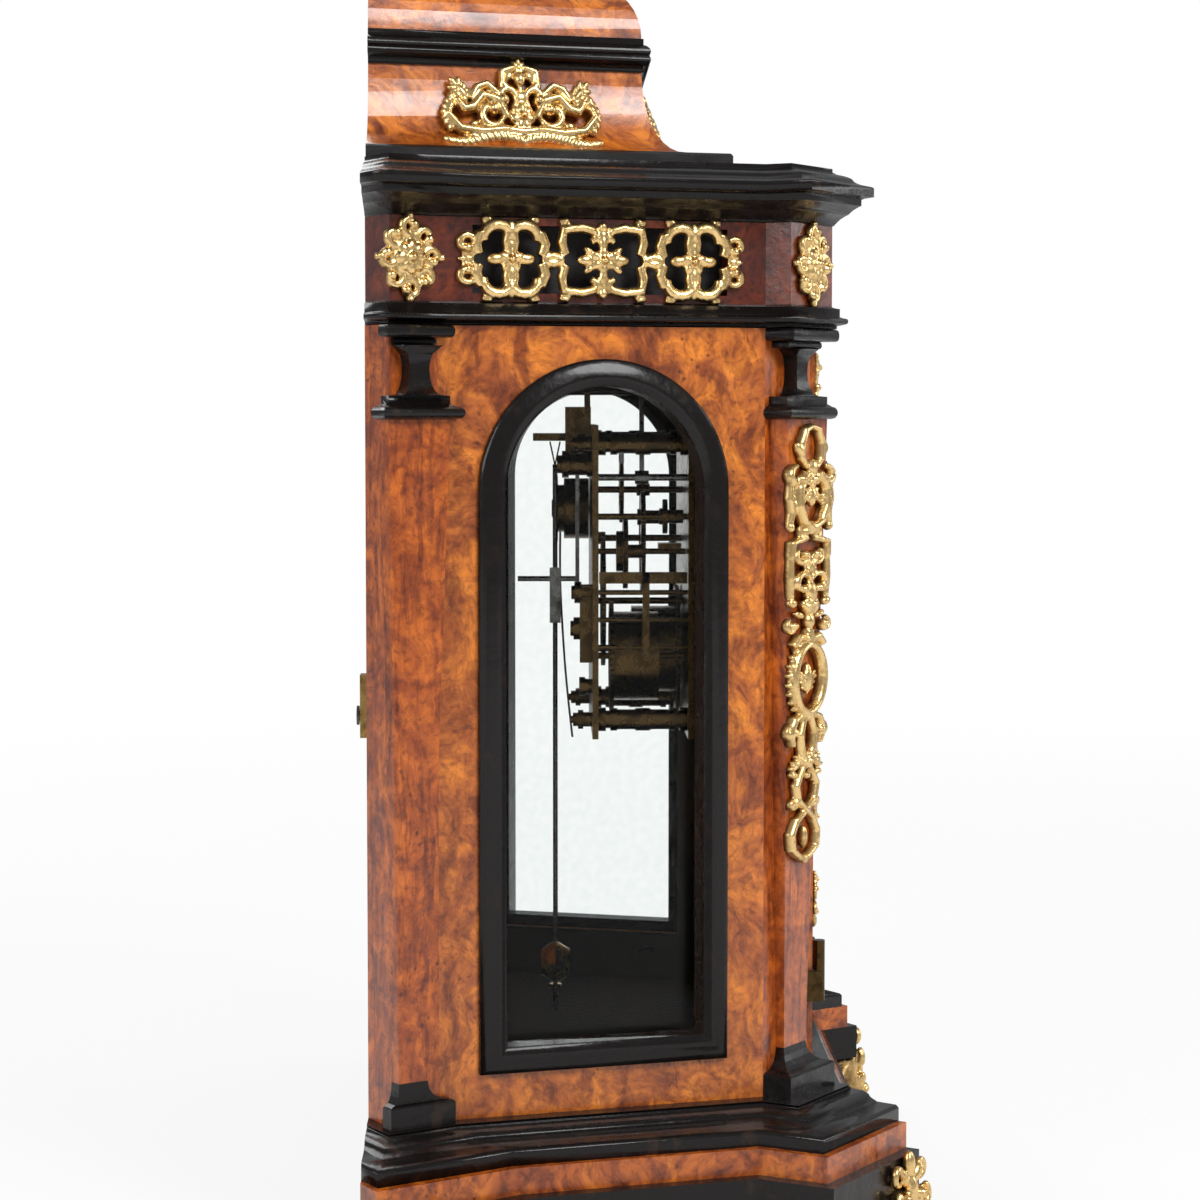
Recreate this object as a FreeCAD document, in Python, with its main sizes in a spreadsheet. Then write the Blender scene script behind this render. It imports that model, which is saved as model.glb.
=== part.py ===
import FreeCAD, Part
import math
import os
import re

# A baroque bracket clock: splayed walnut case with ebonised mouldings and gilt castings, two doors,
# a bell top and a spring-driven movement with a short pendulum. X runs across the dial, the dial faces -Y, Z is up.
# The origin is on the table under the middle of the case. Lengths are in millimetres, angles in degrees.

V = FreeCAD.Vector
doc = FreeCAD.newDocument("bracket_clock")
sheet = doc.addObject("Spreadsheet::Sheet", "dims")

SIZES = {
    # plan of the case, given for the right-hand side
    "case_depth": 238,
    "window_half_span": 151.5,
    "window_y": 23.6,
    "wall_angle": 17,
    "wall_run": 139,
    "rear_face_width": 22.2,
    "rear_face_angle": 33,
    "bevel_angle": -60.4,
    "facet_depth": 13,
    "facet_angle": -30,
    "front_face_width": 39,
    "front_face_angle": 57,
    "door_half_width": 97.8,
    "recess_y": -51,
    "upper_recess_y": -60,
    "wall_thickness": 12,
    "ceiling_z": 355,
    "ceiling_thickness": 6,
    "ceiling_hole_half_x": 56,
    "ceiling_hole_low_y": -14,
    "ceiling_hole_high_y": 36,
    # heights of the case
    "plinth_z": 22.6,
    "band_z": 38.7,
    "base_moulding_z": 49.4,
    "body_z": 62.2,
    "architrave_z": 381,
    "frieze_z": 390.6,
    "cornice_z": 424,
    "case_top_z": 448,
    "bell_base_z": 454,
    "bell_moulding_z": 488,
    "bell_upper_z": 502,
    "bell_top_z": 526,
    "cap_top_z": 536,
    "clock_height": 612,
    "finial_radius": 15,
    # how far each layer stands out from the plan
    "plinth_reach": 40,
    "band_reach": 34,
    "base_moulding_reach": 30.4,
    "base_bead_reach": 6.6,
    "architrave_reach": 4.5,
    "frieze_inset": 3,
    "frieze_wall": 9,
    "cornice_reach": 16.4,
    "cornice_top_inset": 3,
    "bell_inset": 26.5,
    "bell_plinth_front_y": -30,
    "bell_front_y": -11,
    "bell_flare": 18,
    "bell_moulding_reach": 3,
    "bell_dome_inset": 22,
    # side windows
    "window_low_z": 91,
    "window_arch_z": 315,
    "window_half_width": 42,
    "window_frame_width": 11,
    "window_frame_height": 6,
    "panel_hole_gap": 5.7,
    "glass_thickness": 2,
    "glass_lap": 4,
    "glass_seat_depth": 8,
    # rear pilasters
    "rear_shaft_proud": 6,
    "rear_block_proud": 6.6,
    "rear_shaft_start": -3.5,
    "rear_shaft_top_width": 28.1,
    "rear_shaft_foot_width": 13.1,
    "rear_block_start": -4,
    "rear_block_width": 29.8,
    # front pilasters
    "front_shaft_top_proud": 8.6,
    "front_shaft_foot_proud": 3.8,
    "front_shaft_top_width": 35,
    "front_shaft_foot_width": 19,
    "front_shaft_centre": 21,
    # levels of the pilasters
    "block_top_z": 71.6,
    "cavetto_top_z": 81,
    "shaft_top_z": 343.7,
    "plate_z": 350,
    "neck_z": 353,
    "head_z": 372.8,
    "plate_lip": 3,
    "neck_width": 9,
    "neck_proud": 6,
    "head_step": 5,
    # doors
    "door_thickness": 15,
    "door_gap": 0.5,
    "door_low_z": 64,
    "door_high_z": 379.5,
    "door_opening_radius": 72,
    "door_opening_low_z": 166,
    "door_arch_z": 290,
    "door_moulding_width": 8,
    "door_moulding_height": 3,
    "front_frame_thickness": 10,
    "front_frame_border": 14,
    "dial_floor_z": 172,
    "hinge_radius": 2.6,
    "hinge_length": 26,
    "hinge_low_z": 96,
    "hinge_high_z": 300,
    "hinge_gap": 0.3,
    "back_frame_half_width": 149,
    "back_frame_thickness": 12,
    "back_door_low_z": 92,
    "back_door_high_z": 352,
    "back_door_half_width": 122,
    "back_door_thickness": 10,
    "back_panel_thickness": 5,
    "back_stile_width": 24,
    "turn_length": 26,
    "turn_width": 9,
    "turn_thickness": 4,
    "turn_pin_radius": 2,
    "turn_pin_gap": 0.05,
    # feet
    "foot_width": 30,
    "foot_length": 34,
    "foot_sole": 6,
    "foot_reach": 14,
    "leaf_top_z": 43,
    "leaf_thickness": 4,
    "toe_radius": 6.8,
    # gilt castings
    "casting_thickness": 3,
    "fret_rod": 2.6,
    "fret_length": 113,
    "fret_height": 33,
    "opening_length": 108,
    "opening_height": 27,
    "opening_z": 394,
    "pane_thickness": 1.5,
    "rosette_radius": 13.8,
    "mount_length": 172,
    "mount_width": 26,
    "mount_foot_width": 15,
    "mount_top_z": 340,
    "bell_mount_width": 64,
    "bell_mount_height": 31,
    # movement
    "dial_half_width": 76,
    "dial_low_z": 178,
    "dial_thickness": 2,
    "dial_foot_radius": 3,
    "chapter_outer": 66,
    "chapter_inner": 46,
    "chapter_thickness": 1.2,
    "boss_radius": 15,
    "boss_z": 344.5,
    "spandrel_x": 50,
    "spandrel_z": 326,
    "front_plate_y": -14.8,
    "back_plate_y": 24.3,
    "plate_thickness": 2.6,
    "plate_half_width": 60,
    "plate_low_z": 204,
    "plate_high_z": 341,
    "pillar_radius": 4,
    "pillar_inset": 8,
    "barrel_radius": 19.8,
    "barrel_x": 20.6,
    "barrel_z": 237.5,
    "barrel_length": 20,
    "great_wheel_y": -14,
    "strike_wheel_y": 17,
    "centre_wheel_y": 20.3,
    "third_wheel_y": 2,
    "escape_wheel_y": 12,
    "motion_wheel_y": -22.6,
    "hour_wheel_y": -27,
    "hand_y": -43.5,
    "hand_thickness": 1,
    "minute_hand_length": 60,
    "hour_hand_length": 41,
    "winding_square": 4,
    "arbor_radius": 1.5,
    "pivot_gap": 0.06,
    "wheel_thickness": 1.8,
    "pinion_length": 6,
    "train_module": 0.8,
    "motion_module": 0.9,
    "side_clearance": 0.5,
    "pendulum_y": 43,
    "suspension_z": 333,
    "escape_drop": 21.5,
    "escape_radius": 15,
    "escape_tooth": 2.4,
    "pendulum_length": 250,
    "rod_radius": 1.1,
    "rod_block_width": 5,
    "rod_block_high_z": 276,
    "rod_block_low_z": 251,
    "bob_radius": 10,
    "bob_thickness": 13,
    "bob_drop": 238,
    "crutch_pin_z": 271,
    "crutch_y": 32,
    "crutch_thickness": 1.8,
    "crutch_pin_length": 28,
    "crutch_pin_radius": 1.2,
    "drum_x": 31,
    "drum_z": 302,
    "drum_radius": 14,
    "drum_length": 11.4,
    "drum_flange": 1.4,
    "strike_bell_radius": 29,
    "strike_bell_z": 392,
    "strike_bell_height": 20,
    "bell_wall": 1.6,
    "hammer_x": -44,
    "hammer_z": 318,
    "hammer_head_radius": 3.5,
    "hammer_rest_gap": 1.5,
    "strike_bell_y": 5,
    "cock_y": 35.2,
    "cock_thickness": 3.2,
    "cock_arm_thickness": 3.5,
    "cock_reach_y": 53,
    "cock_top_z": 349,
    "cock_side_x": 12,
    "line_radius": 0.5,
}


def fill_sheet():
    """Write each size into the sheet as text, with its alias."""
    for row, (name, value) in enumerate(SIZES.items(), start=1):
        sheet.set(f"A{row}", name)
        sheet.set(f"B{row}", str(value))
        sheet.setAlias(f"B{row}", name)
    doc.recompute()


fill_sheet()


class Reader:
    """Reads a size from the sheet by its alias."""

    def __getattr__(self, name):
        return float(sheet.get(name))


d = Reader()
NODES = {}


def node(name, obj):
    """Name an object as a sub-part of the clock."""
    obj.Label = name
    NODES[name] = obj
    return obj


def bind(obj, prop, text):
    """Bind a property to a formula in the sheet's aliases."""
    formula = re.sub(r"[a-z][a-z_]+", lambda m: "dims." + m.group(0) if m.group(0) in SIZES else m.group(0),
                     text)
    obj.setExpression(prop, formula)


def place(obj, x, y, z):
    """Bind a placement's position to three formulas."""
    for axis, text in zip("xyz", (x, y, z)):
        bind(obj, f"Placement.Base.{axis}", text)
    return obj


def box(name, size, corner):
    """A block with bound sides and a bound lower corner."""
    obj = doc.addObject("Part::Box", name)
    for prop, text in zip(("Length", "Width", "Height"), size):
        bind(obj, prop, text)
    return place(obj, *corner)


ALONG = {
    "x": FreeCAD.Rotation(V(0, 1, 0), 90),
    "y": FreeCAD.Rotation(V(1, 0, 0), -90),
    "z": FreeCAD.Rotation(),
}


def cylinder(name, radius, length, start, axis="y"):
    """A round bar with bound radius and length that starts at a bound point and runs along one axis."""
    obj = doc.addObject("Part::Cylinder", name)
    bind(obj, "Radius", radius)
    bind(obj, "Height", length)
    obj.Placement = FreeCAD.Placement(V(0, 0, 0), ALONG[axis])
    return place(obj, *start)


def fuse(name, parts):
    """One piece from several."""
    obj = doc.addObject("Part::MultiFuse", name)
    obj.Shapes = parts
    return obj


def cut(name, base, tools):
    """A piece less one or more others."""
    for number, tool in enumerate(tools):
        obj = doc.addObject("Part::Cut", f"{name}_{number}")
        obj.Base = base
        obj.Tool = tool
        base = obj
    return base


def pair(name, obj):
    """A piece and its mirror image across the middle of the clock."""
    other = doc.addObject("Part::Mirroring", f"{name}_left")
    other.Source = obj
    other.Normal = V(1, 0, 0)
    both = doc.addObject("Part::Compound", f"{name}_pair")
    both.Links = [obj, other]
    return both


def group(name, parts):
    """Several like pieces in one node."""
    both = doc.addObject("Part::Compound", f"{name}_group")
    both.Links = parts
    return both


def shaped(name, shape):
    """A piece whose shape is worked out here from the sheet."""
    obj = doc.addObject("Part::Feature", name)
    obj.Shape = shape
    obj.Placement = shape.Placement
    return obj


# Plan geometry


def normal(angle):
    """Outward normal of a plan line: 0 faces the side, 90 faces the front."""
    turn = math.radians(angle)
    return V(math.cos(turn), -math.sin(turn), 0)


def along(angle):
    """Direction of a plan line from back to front."""
    turn = math.radians(angle)
    return V(-math.sin(turn), -math.cos(turn), 0)


def crossing(point_a, angle_a, point_b, angle_b):
    """Where two plan lines cross."""
    run_a = along(angle_a)
    away = normal(angle_b)
    return point_a + run_a * ((point_b - point_a).dot(away) / run_a.dot(away))


window_point = V(d.window_half_span, d.window_y, 0)
rear_corner = window_point - along(d.wall_angle) * (d.wall_run / 2)
front_corner = window_point + along(d.wall_angle) * (d.wall_run / 2)
rear_start = rear_corner - along(d.rear_face_angle) * d.rear_face_width
facet_end = front_corner + along(d.facet_angle) * d.facet_depth
front_end = facet_end + along(d.front_face_angle) * d.front_face_width
back_y = d.case_depth / 2
REAR_SPREAD_SHARE = 1.157
BEVEL_SPREAD_SHARE = 0.8


def side_points(reach):
    """The right-hand outline from the back to the front block's inner edge, moved out by reach."""
    bevel = rear_start + normal(d.bevel_angle) * (reach * BEVEL_SPREAD_SHARE)
    rear = rear_corner + normal(d.rear_face_angle) * (reach * REAR_SPREAD_SHARE)
    wall = window_point + normal(d.wall_angle) * reach
    facet = front_corner + normal(d.facet_angle) * reach
    front = facet_end + normal(d.front_face_angle) * reach
    back = V(0, back_y, 0)
    points = [
        crossing(bevel, d.bevel_angle, back, -90),
        crossing(bevel, d.bevel_angle, rear, d.rear_face_angle),
        crossing(rear, d.rear_face_angle, wall, d.wall_angle),
        crossing(wall, d.wall_angle, facet, d.facet_angle),
        crossing(facet, d.facet_angle, front, d.front_face_angle),
        front_end + normal(d.front_face_angle) * reach,
    ]
    if points[1].y > back_y:
        face_back = crossing(rear, d.rear_face_angle, back, -90)
        points[0] = face_back
        points[1] = face_back + along(d.rear_face_angle) * d.hinge_gap
    return points


def outline(reach, recess_y, z):
    """The whole case outline as a closed wire at height z, moved out by reach."""
    right = side_points(reach)
    inward = -normal(d.front_face_angle)
    line_y = recess_y - reach
    right.append(right[-1] + inward * ((line_y - right[-1].y) / inward.y))
    left = [V(-p.x, p.y, 0) for p in reversed(right)]
    ring = [V(p.x, p.y, z) for p in right + left]
    return Part.makePolygon(ring + ring[:1])


def slab(name, recess_y, levels):
    """A moulded board: ruled between outlines at the given (reach, height) levels."""
    return shaped(name, Part.makeLoft([outline(p, recess_y, z) for p, z in levels], True, True))


def carve(name, levels, hole_reach, recess_y, low, high):
    """A moulded frame: the board less its inside."""
    hole = slab(f"{name}_hole", recess_y, [(hole_reach, low), (hole_reach, high)])
    return cut(name, slab(f"{name}_board", recess_y, levels), [hole])


def bow(start, end, bulge, steps=5):
    """Levels along an arc from one (reach, height) to another; bulge is the sag as a share of the chord."""
    (x0, y0), (x1, y1) = start, end
    chord = math.hypot(x1 - x0, y1 - y0)
    levels = []
    for step in range(steps + 1):
        part = step / steps
        sag = bulge * chord * 4 * part * (1 - part)
        levels.append((x0 + (x1 - x0) * part + sag, y0 + (y1 - y0) * part))
    return levels


def scaled(shares, reach_low, reach_high, low, high):
    """Profile shares turned into (reach, height) levels."""
    levels = []
    for entry in shares:
        point = (reach_low + (reach_high - reach_low) * entry[0], low + (high - low) * entry[1])
        if len(entry) > 2:
            levels += bow(levels[-1], point, entry[2])[1:]
        else:
            levels.append(point)
    return levels


# Base and cornice

BASE_PROFILE_SHARES = [
    (1, 0), (1, 0.38), (0.94, 0.53, 0.2), (0.57, 0.55), (0.52, 0.6), (0.42, 0.72, -0.15), (0.28, 0.86, 0.2),
    (0.05, 0.88), (0.05, 0.9), (0, 0.95, 0.3), (0.03, 1, 0.3),
]
CORNICE_PROFILE_SHARES = [
    (0, 0), (0.06, 0.03, 0.2), (0.12, 0.07), (0.4, 0.2, -0.1), (0.66, 0.33, -0.1), (0.7, 0.34), (0.7, 0.44),
    (0.76, 0.46), (1, 0.48), (1, 0.62), (0.94, 0.66, 0.2), (0.7, 0.7), (0.5, 0.78, -0.15), (0.1, 0.9, 0.2),
    (0, 0.94), (0, 1),
]
ARCHITRAVE_PROFILE_SHARES = [
    (0, 0), (0.3, 0.04, 0.3), (0.3, 0.12, 0.3), (0.35, 0.16), (1, 0.3, 0.3), (1, 0.42, 0.2), (0.7, 0.5, 0.3),
    (0.5, 0.55), (0.5, 0.9), (0, 1, -0.2),
]

node("plinth_board",
     slab("plinth_board", d.recess_y, [(d.plinth_reach, d.plinth_z), (d.plinth_reach, d.band_z)]))
node("base_band",
     slab("base_band", d.recess_y, [(d.band_reach, d.band_z), (d.band_reach, d.base_moulding_z)]))
base_levels = scaled(BASE_PROFILE_SHARES, d.base_bead_reach, d.base_moulding_reach, d.base_moulding_z,
                     d.body_z)
node("base_moulding",
     carve("base_moulding", base_levels, -d.wall_thickness, d.recess_y, d.base_moulding_z, d.body_z))
bottom_reach = -d.wall_thickness - d.hinge_gap
node("bottom_board", slab("bottom_board", d.recess_y,
                          [(bottom_reach, d.base_moulding_z), (bottom_reach, d.body_z)]))
architrave_levels = scaled(ARCHITRAVE_PROFILE_SHARES, -d.frieze_inset, d.architrave_reach, d.architrave_z,
                           d.frieze_z)
node("architrave_moulding", carve("architrave", architrave_levels, -d.wall_thickness, d.upper_recess_y,
                                  d.architrave_z, d.frieze_z))
cornice_levels = scaled(CORNICE_PROFILE_SHARES, -d.cornice_top_inset, d.cornice_reach, d.cornice_z,
                        d.case_top_z)
node("cornice",
     carve("cornice", cornice_levels, -d.wall_thickness, d.upper_recess_y, d.cornice_z, d.case_top_z))
top_reach = -d.wall_thickness - d.hinge_gap
node("top_board", slab("top_board", d.upper_recess_y,
                       [(top_reach, d.case_top_z - d.wall_thickness), (top_reach, d.case_top_z)]))


ceiling_levels = (d.ceiling_z, d.ceiling_z + d.ceiling_thickness)
ceiling_outline = Part.makeLoft([outline(top_reach, d.recess_y, z) for z in ceiling_levels], True, True)
ceiling_rear = Part.makeBox(d.case_depth * 2, d.case_depth, d.ceiling_thickness,
                            V(-d.case_depth, rear_corner.y, d.ceiling_z))
ceiling_front = Part.makeBox(d.case_depth * 2, d.case_depth, d.ceiling_thickness,
                             V(-d.case_depth, d.recess_y + d.wall_thickness + d.hinge_gap - d.case_depth,
                               d.ceiling_z))
ceiling_hole = Part.makeBox(2 * d.ceiling_hole_half_x, d.ceiling_hole_high_y - d.ceiling_hole_low_y,
                            d.ceiling_thickness,
                            V(-d.ceiling_hole_half_x, d.ceiling_hole_low_y, d.ceiling_z))
node("ceiling_board",
     shaped("ceiling_board", ceiling_outline.cut(ceiling_rear).cut(ceiling_front).cut(ceiling_hole)))

# Side walls


def to_wall(shape):
    """Carry a shape drawn in X (towards the back), Z and -Y (outwards) onto the right-hand side wall."""
    run = along(d.wall_angle)
    out = normal(d.wall_angle)
    frame = FreeCAD.Placement(V(window_point.x, window_point.y, 0), FreeCAD.Rotation(-run, -out, V(0, 0, 1)))
    moved = shape.copy()
    moved.Placement = frame.multiply(moved.Placement)
    return moved


def arch_wire(half_width, low, arch_z, out):
    """A round-headed outline in the XZ plane at y = -out."""
    left = V(-half_width, -out, low)
    right = V(half_width, -out, low)
    right_top = V(half_width, -out, arch_z)
    left_top = V(-half_width, -out, arch_z)
    crown = V(0, -out, arch_z + half_width)
    edges = [Part.LineSegment(left, right), Part.LineSegment(right, right_top),
             Part.Arc(right_top, crown, left_top), Part.LineSegment(left_top, left)]
    return Part.Wire([edge.toShape() for edge in edges])


def arch_stack(half_width, low, arch_z, levels):
    """A solid ruled between round-headed outlines at (spread, out) levels."""
    wires = [arch_wire(half_width + spread, low - spread, arch_z, out) for spread, out in levels]
    return Part.makeLoft(wires, True, True)


def flat_box(x0, x1, out0, out1, z0, z1):
    """A block in the XZ frame between two depths."""
    return Part.makeBox(x1 - x0, out1 - out0, z1 - z0, V(x0, -out1, z0))


FRAME_PROFILE_SHARES = [(1, 0), (1, 0.35), (0.9, 0.6, 0.15), (0.75, 0.62), (0.45, 1, 0.25), (0.2, 0.9, 0.2),
                        (0, 0.55, 0.1)]


def window_frame(half_width, low, arch_z, width, height, back):
    """A moulded frame round a round-headed opening, with a lining that runs back into the wall."""
    levels = [(width * e[0],
               height * e[1]) for e in FRAME_PROFILE_SHARES if e[0] >= FRAME_PROFILE_SHARES[4][0]]
    body = arch_stack(half_width, low, arch_z, [(width, 0)] + levels[1:])
    crown = [(width * e[0],
              height * e[1]) for e in FRAME_PROFILE_SHARES if e[0] <= FRAME_PROFILE_SHARES[4][0]]
    dish = arch_stack(half_width, low, arch_z,
                      [(s, o) for s, o in reversed(crown)] + [(crown[0][0], height + width)])
    hole = arch_stack(half_width, low, arch_z, [(0, -back - width), (0, height + width)])
    lining = arch_stack(half_width, low, arch_z,
                        [(d.panel_hole_gap - d.hinge_gap, -back), (d.panel_hole_gap - d.hinge_gap, 0)])
    return body.fuse(lining).cut(dish).cut(hole)


panel_half_run = d.wall_run / 2
panel = flat_box(-panel_half_run, panel_half_run, -d.wall_thickness, 0, d.body_z, d.architrave_z)
panel_hole = arch_stack(d.window_half_width + d.panel_hole_gap, d.window_low_z - d.panel_hole_gap,
                        d.window_arch_z, [(0, -2 * d.wall_thickness), (0, d.wall_thickness)])
node("side_panels", pair("side_panels", shaped("side_panel", to_wall(panel.cut(panel_hole)))))
side_frame = window_frame(d.window_half_width, d.window_low_z, d.window_arch_z, d.window_frame_width,
                          d.window_frame_height, d.glass_seat_depth)
node("side_window_frames", pair("side_frames", shaped("side_frame", to_wall(side_frame))))
side_glass = arch_stack(d.window_half_width, d.window_low_z, d.window_arch_z,
                        [(d.glass_lap, -d.glass_seat_depth - d.glass_thickness),
                         (d.glass_lap, -d.glass_seat_depth)])
node("side_glasses", pair("side_glass", shaped("side_glass", to_wall(side_glass))))

# Corner posts


def prism(name, points, low, high):
    """An upright prism on a plan polygon."""
    ring = [V(p.x, p.y, low) for p in points]
    face = Part.Face(Part.makePolygon(ring + ring[:1]))
    return shaped(name, face.extrude(V(0, 0, high - low)))


base_right = side_points(0)
inner_rear = rear_corner - normal(d.wall_angle) * d.wall_thickness
frame_front_y = back_y - d.back_frame_thickness
rear_post = prism("rear_post", [base_right[0], base_right[1], rear_corner, inner_rear,
                                V(d.back_frame_half_width, frame_front_y, 0),
                                V(d.back_frame_half_width, back_y, 0)],
                  d.body_z, d.architrave_z)
post_tip = crossing(front_corner, d.front_face_angle, V(d.door_half_width, 0, 0), 0)
inner_corner = front_corner - normal(d.wall_angle) * d.wall_thickness
post_back = V(d.door_half_width, d.recess_y + d.front_frame_thickness, 0)
front_post = prism("front_post", [front_corner, post_tip, post_back, inner_corner], d.body_z, d.architrave_z)
node("corner_posts", group("corner_posts", [pair("rear_post", rear_post), pair("front_post", front_post)]))


# Pilasters: stacks of rectangles in the frame of a post's face


class Face:
    """A post's face: start point, facing angle."""

    def __init__(self, start, angle):
        self.start = start
        self.run = along(angle)
        self.out = normal(angle)

    def ring(self, low, high, proud, z):
        corners = [(low, 0), (high, 0), (high, proud), (low, proud)]
        points = [self.start + self.run * u + self.out * q for u, q in corners]
        points = [V(p.x, p.y, z) for p in points]
        return Part.makePolygon(points + points[:1])

    def stack(self, levels):
        """A solid ruled between (low, high, proud, z) rectangles."""
        return Part.makeLoft([self.ring(*level) for level in levels], True, True)


rear_face = Face(rear_start, d.rear_face_angle)
front_face = Face(front_corner, d.front_face_angle)
rear_block = (d.rear_block_start, d.rear_block_start + d.rear_block_width, d.rear_block_proud)
front_block = (d.hinge_gap * 2, d.front_face_width + d.hinge_gap * 2, d.facet_depth)
rear_top = (d.rear_shaft_start, d.rear_shaft_start + d.rear_shaft_top_width, d.rear_shaft_proud)
rear_foot = (0, d.rear_shaft_foot_width, d.rear_shaft_proud)
front_top = (d.front_shaft_centre - d.front_shaft_top_width / 2,
             d.front_shaft_centre + d.front_shaft_top_width / 2,
             d.front_shaft_top_proud)
front_foot = (d.front_shaft_centre - d.front_shaft_foot_width / 2,
              d.front_shaft_centre + d.front_shaft_foot_width / 2, d.front_shaft_foot_proud)


def blend(first, last, part):
    """A rectangle part of the way between two."""
    return tuple(a + (b - a) * part for a, b in zip(first, last))


def grown(rect, lip):
    """A rectangle widened and thickened by a lip."""
    return (rect[0] - lip, rect[1] + lip, rect[2] + lip)


def necked(rect, width, proud):
    """A rectangle of another width about the same centre."""
    centre = (rect[0] + rect[1]) / 2
    return (centre - width / 2, centre + width / 2, proud)


ROLL_SHARES = (0, 0.1, 0.3, 0.5, 0.7, 0.9, 1)


def roll(rect, lip, low, high):
    """Levels of a half-round moulding between two heights."""
    levels = []
    for share in ROLL_SHARES:
        swell = math.sqrt(max(0.0, 1 - (2 * share - 1) ** 2))
        levels.append((*grown(rect, lip * swell), low + (high - low) * share))
    return levels


HOLLOW_SHARES = (0, 0.08, 0.2, 0.4, 0.65, 1)


def hollow(first, last, low, high, flip=False):
    """Levels of a hollow curve from one rectangle up to another."""
    levels = []
    for share in HOLLOW_SHARES:
        part = math.sqrt(1 - (1 - share) ** 2) if not flip else 1 - math.sqrt(1 - share ** 2)
        levels.append((*blend(first, last, part), low + (high - low) * share))
    return levels


def pilaster_parts(face, block, foot, top):
    """Base, shaft and capital of one pilaster."""
    ledge = d.hinge_gap * 2
    base = face.stack([(*block, d.body_z), (*block, d.block_top_z - ledge),
                       (*grown(block, -ledge), d.block_top_z)]
                      + hollow(grown(block, -2 * ledge), foot, d.block_top_z + ledge / 2, d.cavetto_top_z))
    shaft = face.stack([(*foot, d.cavetto_top_z), (*top, d.shaft_top_z)])
    plate_rise = d.neck_z - d.plate_z
    plate = roll(grown(top, d.plate_lip / 2), d.plate_lip, d.shaft_top_z, d.plate_z - plate_rise / 3)
    neck = necked(top, d.neck_width, d.neck_proud)
    wide_neck = necked(top, 2 * d.neck_width, d.neck_proud * 3 / 2)
    middle = (d.neck_z + d.head_z) / 2
    capital = face.stack(plate + [(*top, d.plate_z), (*top, d.neck_z)]
                         + hollow(wide_neck, neck, d.neck_z + ledge / 2, middle)
                         + hollow(neck, wide_neck, middle + ledge, d.head_z, True)
                         + roll(grown(block, -d.head_step - ledge), ledge, d.head_z + ledge / 4,
                                d.head_z + 3)
                         + roll(grown(block, -ledge), 2 * ledge, d.head_z + 3 + ledge / 4, d.architrave_z))
    return base, shaft, capital


rear_base, rear_shaft, rear_capital = pilaster_parts(rear_face, rear_block, rear_foot, rear_top)
front_base, front_shaft, front_capital = pilaster_parts(front_face, front_block, front_foot, front_top)
wall_slab = to_wall(flat_box(-panel_half_run, panel_half_run, -d.wall_thickness, 0, d.body_z, d.frieze_z))
return_run = front_block[1]
return_slab = front_face.stack([(return_run, return_run + d.wall_thickness, d.front_face_width, d.body_z),
                                (return_run, return_run + d.wall_thickness, d.front_face_width, d.frieze_z)])


def four(name, rear, front):
    """Rear and front pieces for both sides, trimmed where they meet the side wall."""
    rear_piece = shaped(f"{name}_rear", rear.cut(wall_slab))
    front_piece = shaped(f"{name}_front", front.cut(wall_slab).cut(return_slab))
    return group(name, [pair(f"{name}_rear", rear_piece), pair(f"{name}_front", front_piece)])


node("pilaster_bases", four("pilaster_base", rear_base, front_base))
node("pilaster_shafts", four("pilaster_shaft", rear_shaft, front_shaft))
node("pilaster_capitals", four("pilaster_capital", rear_capital, front_capital))

# Frieze with a pierced opening in each side and in the front


def to_face(face, centre_run, centre_z, shape):
    """Carry a shape drawn in X, Z and -Y (outwards) about the origin onto a face."""
    base = face.start + face.run * centre_run
    frame = FreeCAD.Placement(V(base.x, base.y, centre_z),
                              FreeCAD.Rotation(-face.run, -face.out, V(0, 0, 1)))
    moved = shape.copy()
    moved.Placement = frame.multiply(moved.Placement)
    return moved


side_wall_face = Face(window_point, d.wall_angle)
front_line_y = d.upper_recess_y + d.frieze_inset
front_wall_face = Face(V(0, front_line_y, 0), 90)
opening_mid_z = d.opening_z + d.opening_height / 2
half_open = d.opening_length / 2
half_rise = d.opening_height / 2
opening_tool = flat_box(-half_open, half_open, -3 * d.frieze_wall, d.frieze_wall, -half_rise, half_rise)
frieze_board = Part.makeLoft([outline(-d.frieze_inset, d.upper_recess_y, z) for z in (d.frieze_z,
                                                                                      d.cornice_z)], True,
                             True)
frieze_hole = Part.makeLoft([outline(-d.frieze_inset - d.frieze_wall, d.upper_recess_y, z)
                             for z in (d.frieze_z, d.cornice_z)], True, True)
opening_right = to_face(side_wall_face, 0, opening_mid_z, opening_tool)
opening_left = opening_right.mirror(V(0, 0, 0), V(1, 0, 0))
opening_front = to_face(front_wall_face, 0, opening_mid_z, opening_tool)
frieze = frieze_board.cut(frieze_hole).cut(opening_right).cut(opening_left).cut(opening_front)
node("frieze_frame", shaped("frieze_frame", frieze))
pane_lap = d.glass_lap / 2
pane_box = flat_box(-half_open - pane_lap, half_open + pane_lap, -d.pane_thickness, 0, -half_rise - pane_lap,
                    half_rise + pane_lap)
pane_inset = d.frieze_inset + d.frieze_wall
pane_right = to_face(Face(window_point - normal(d.wall_angle) * pane_inset, d.wall_angle), 0, opening_mid_z,
                     pane_box)
pane_front = to_face(Face(V(0, front_line_y + d.frieze_wall, 0), 90), 0, opening_mid_z, pane_box)
node("frieze_panes", group("frieze_panes", [pair("pane_right", shaped("pane_right", pane_right)),
                                            shaped("pane_front", pane_front)]))


# Gilt castings: bars bent to scrolls, drawn about the origin in X, Z and -Y


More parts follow.
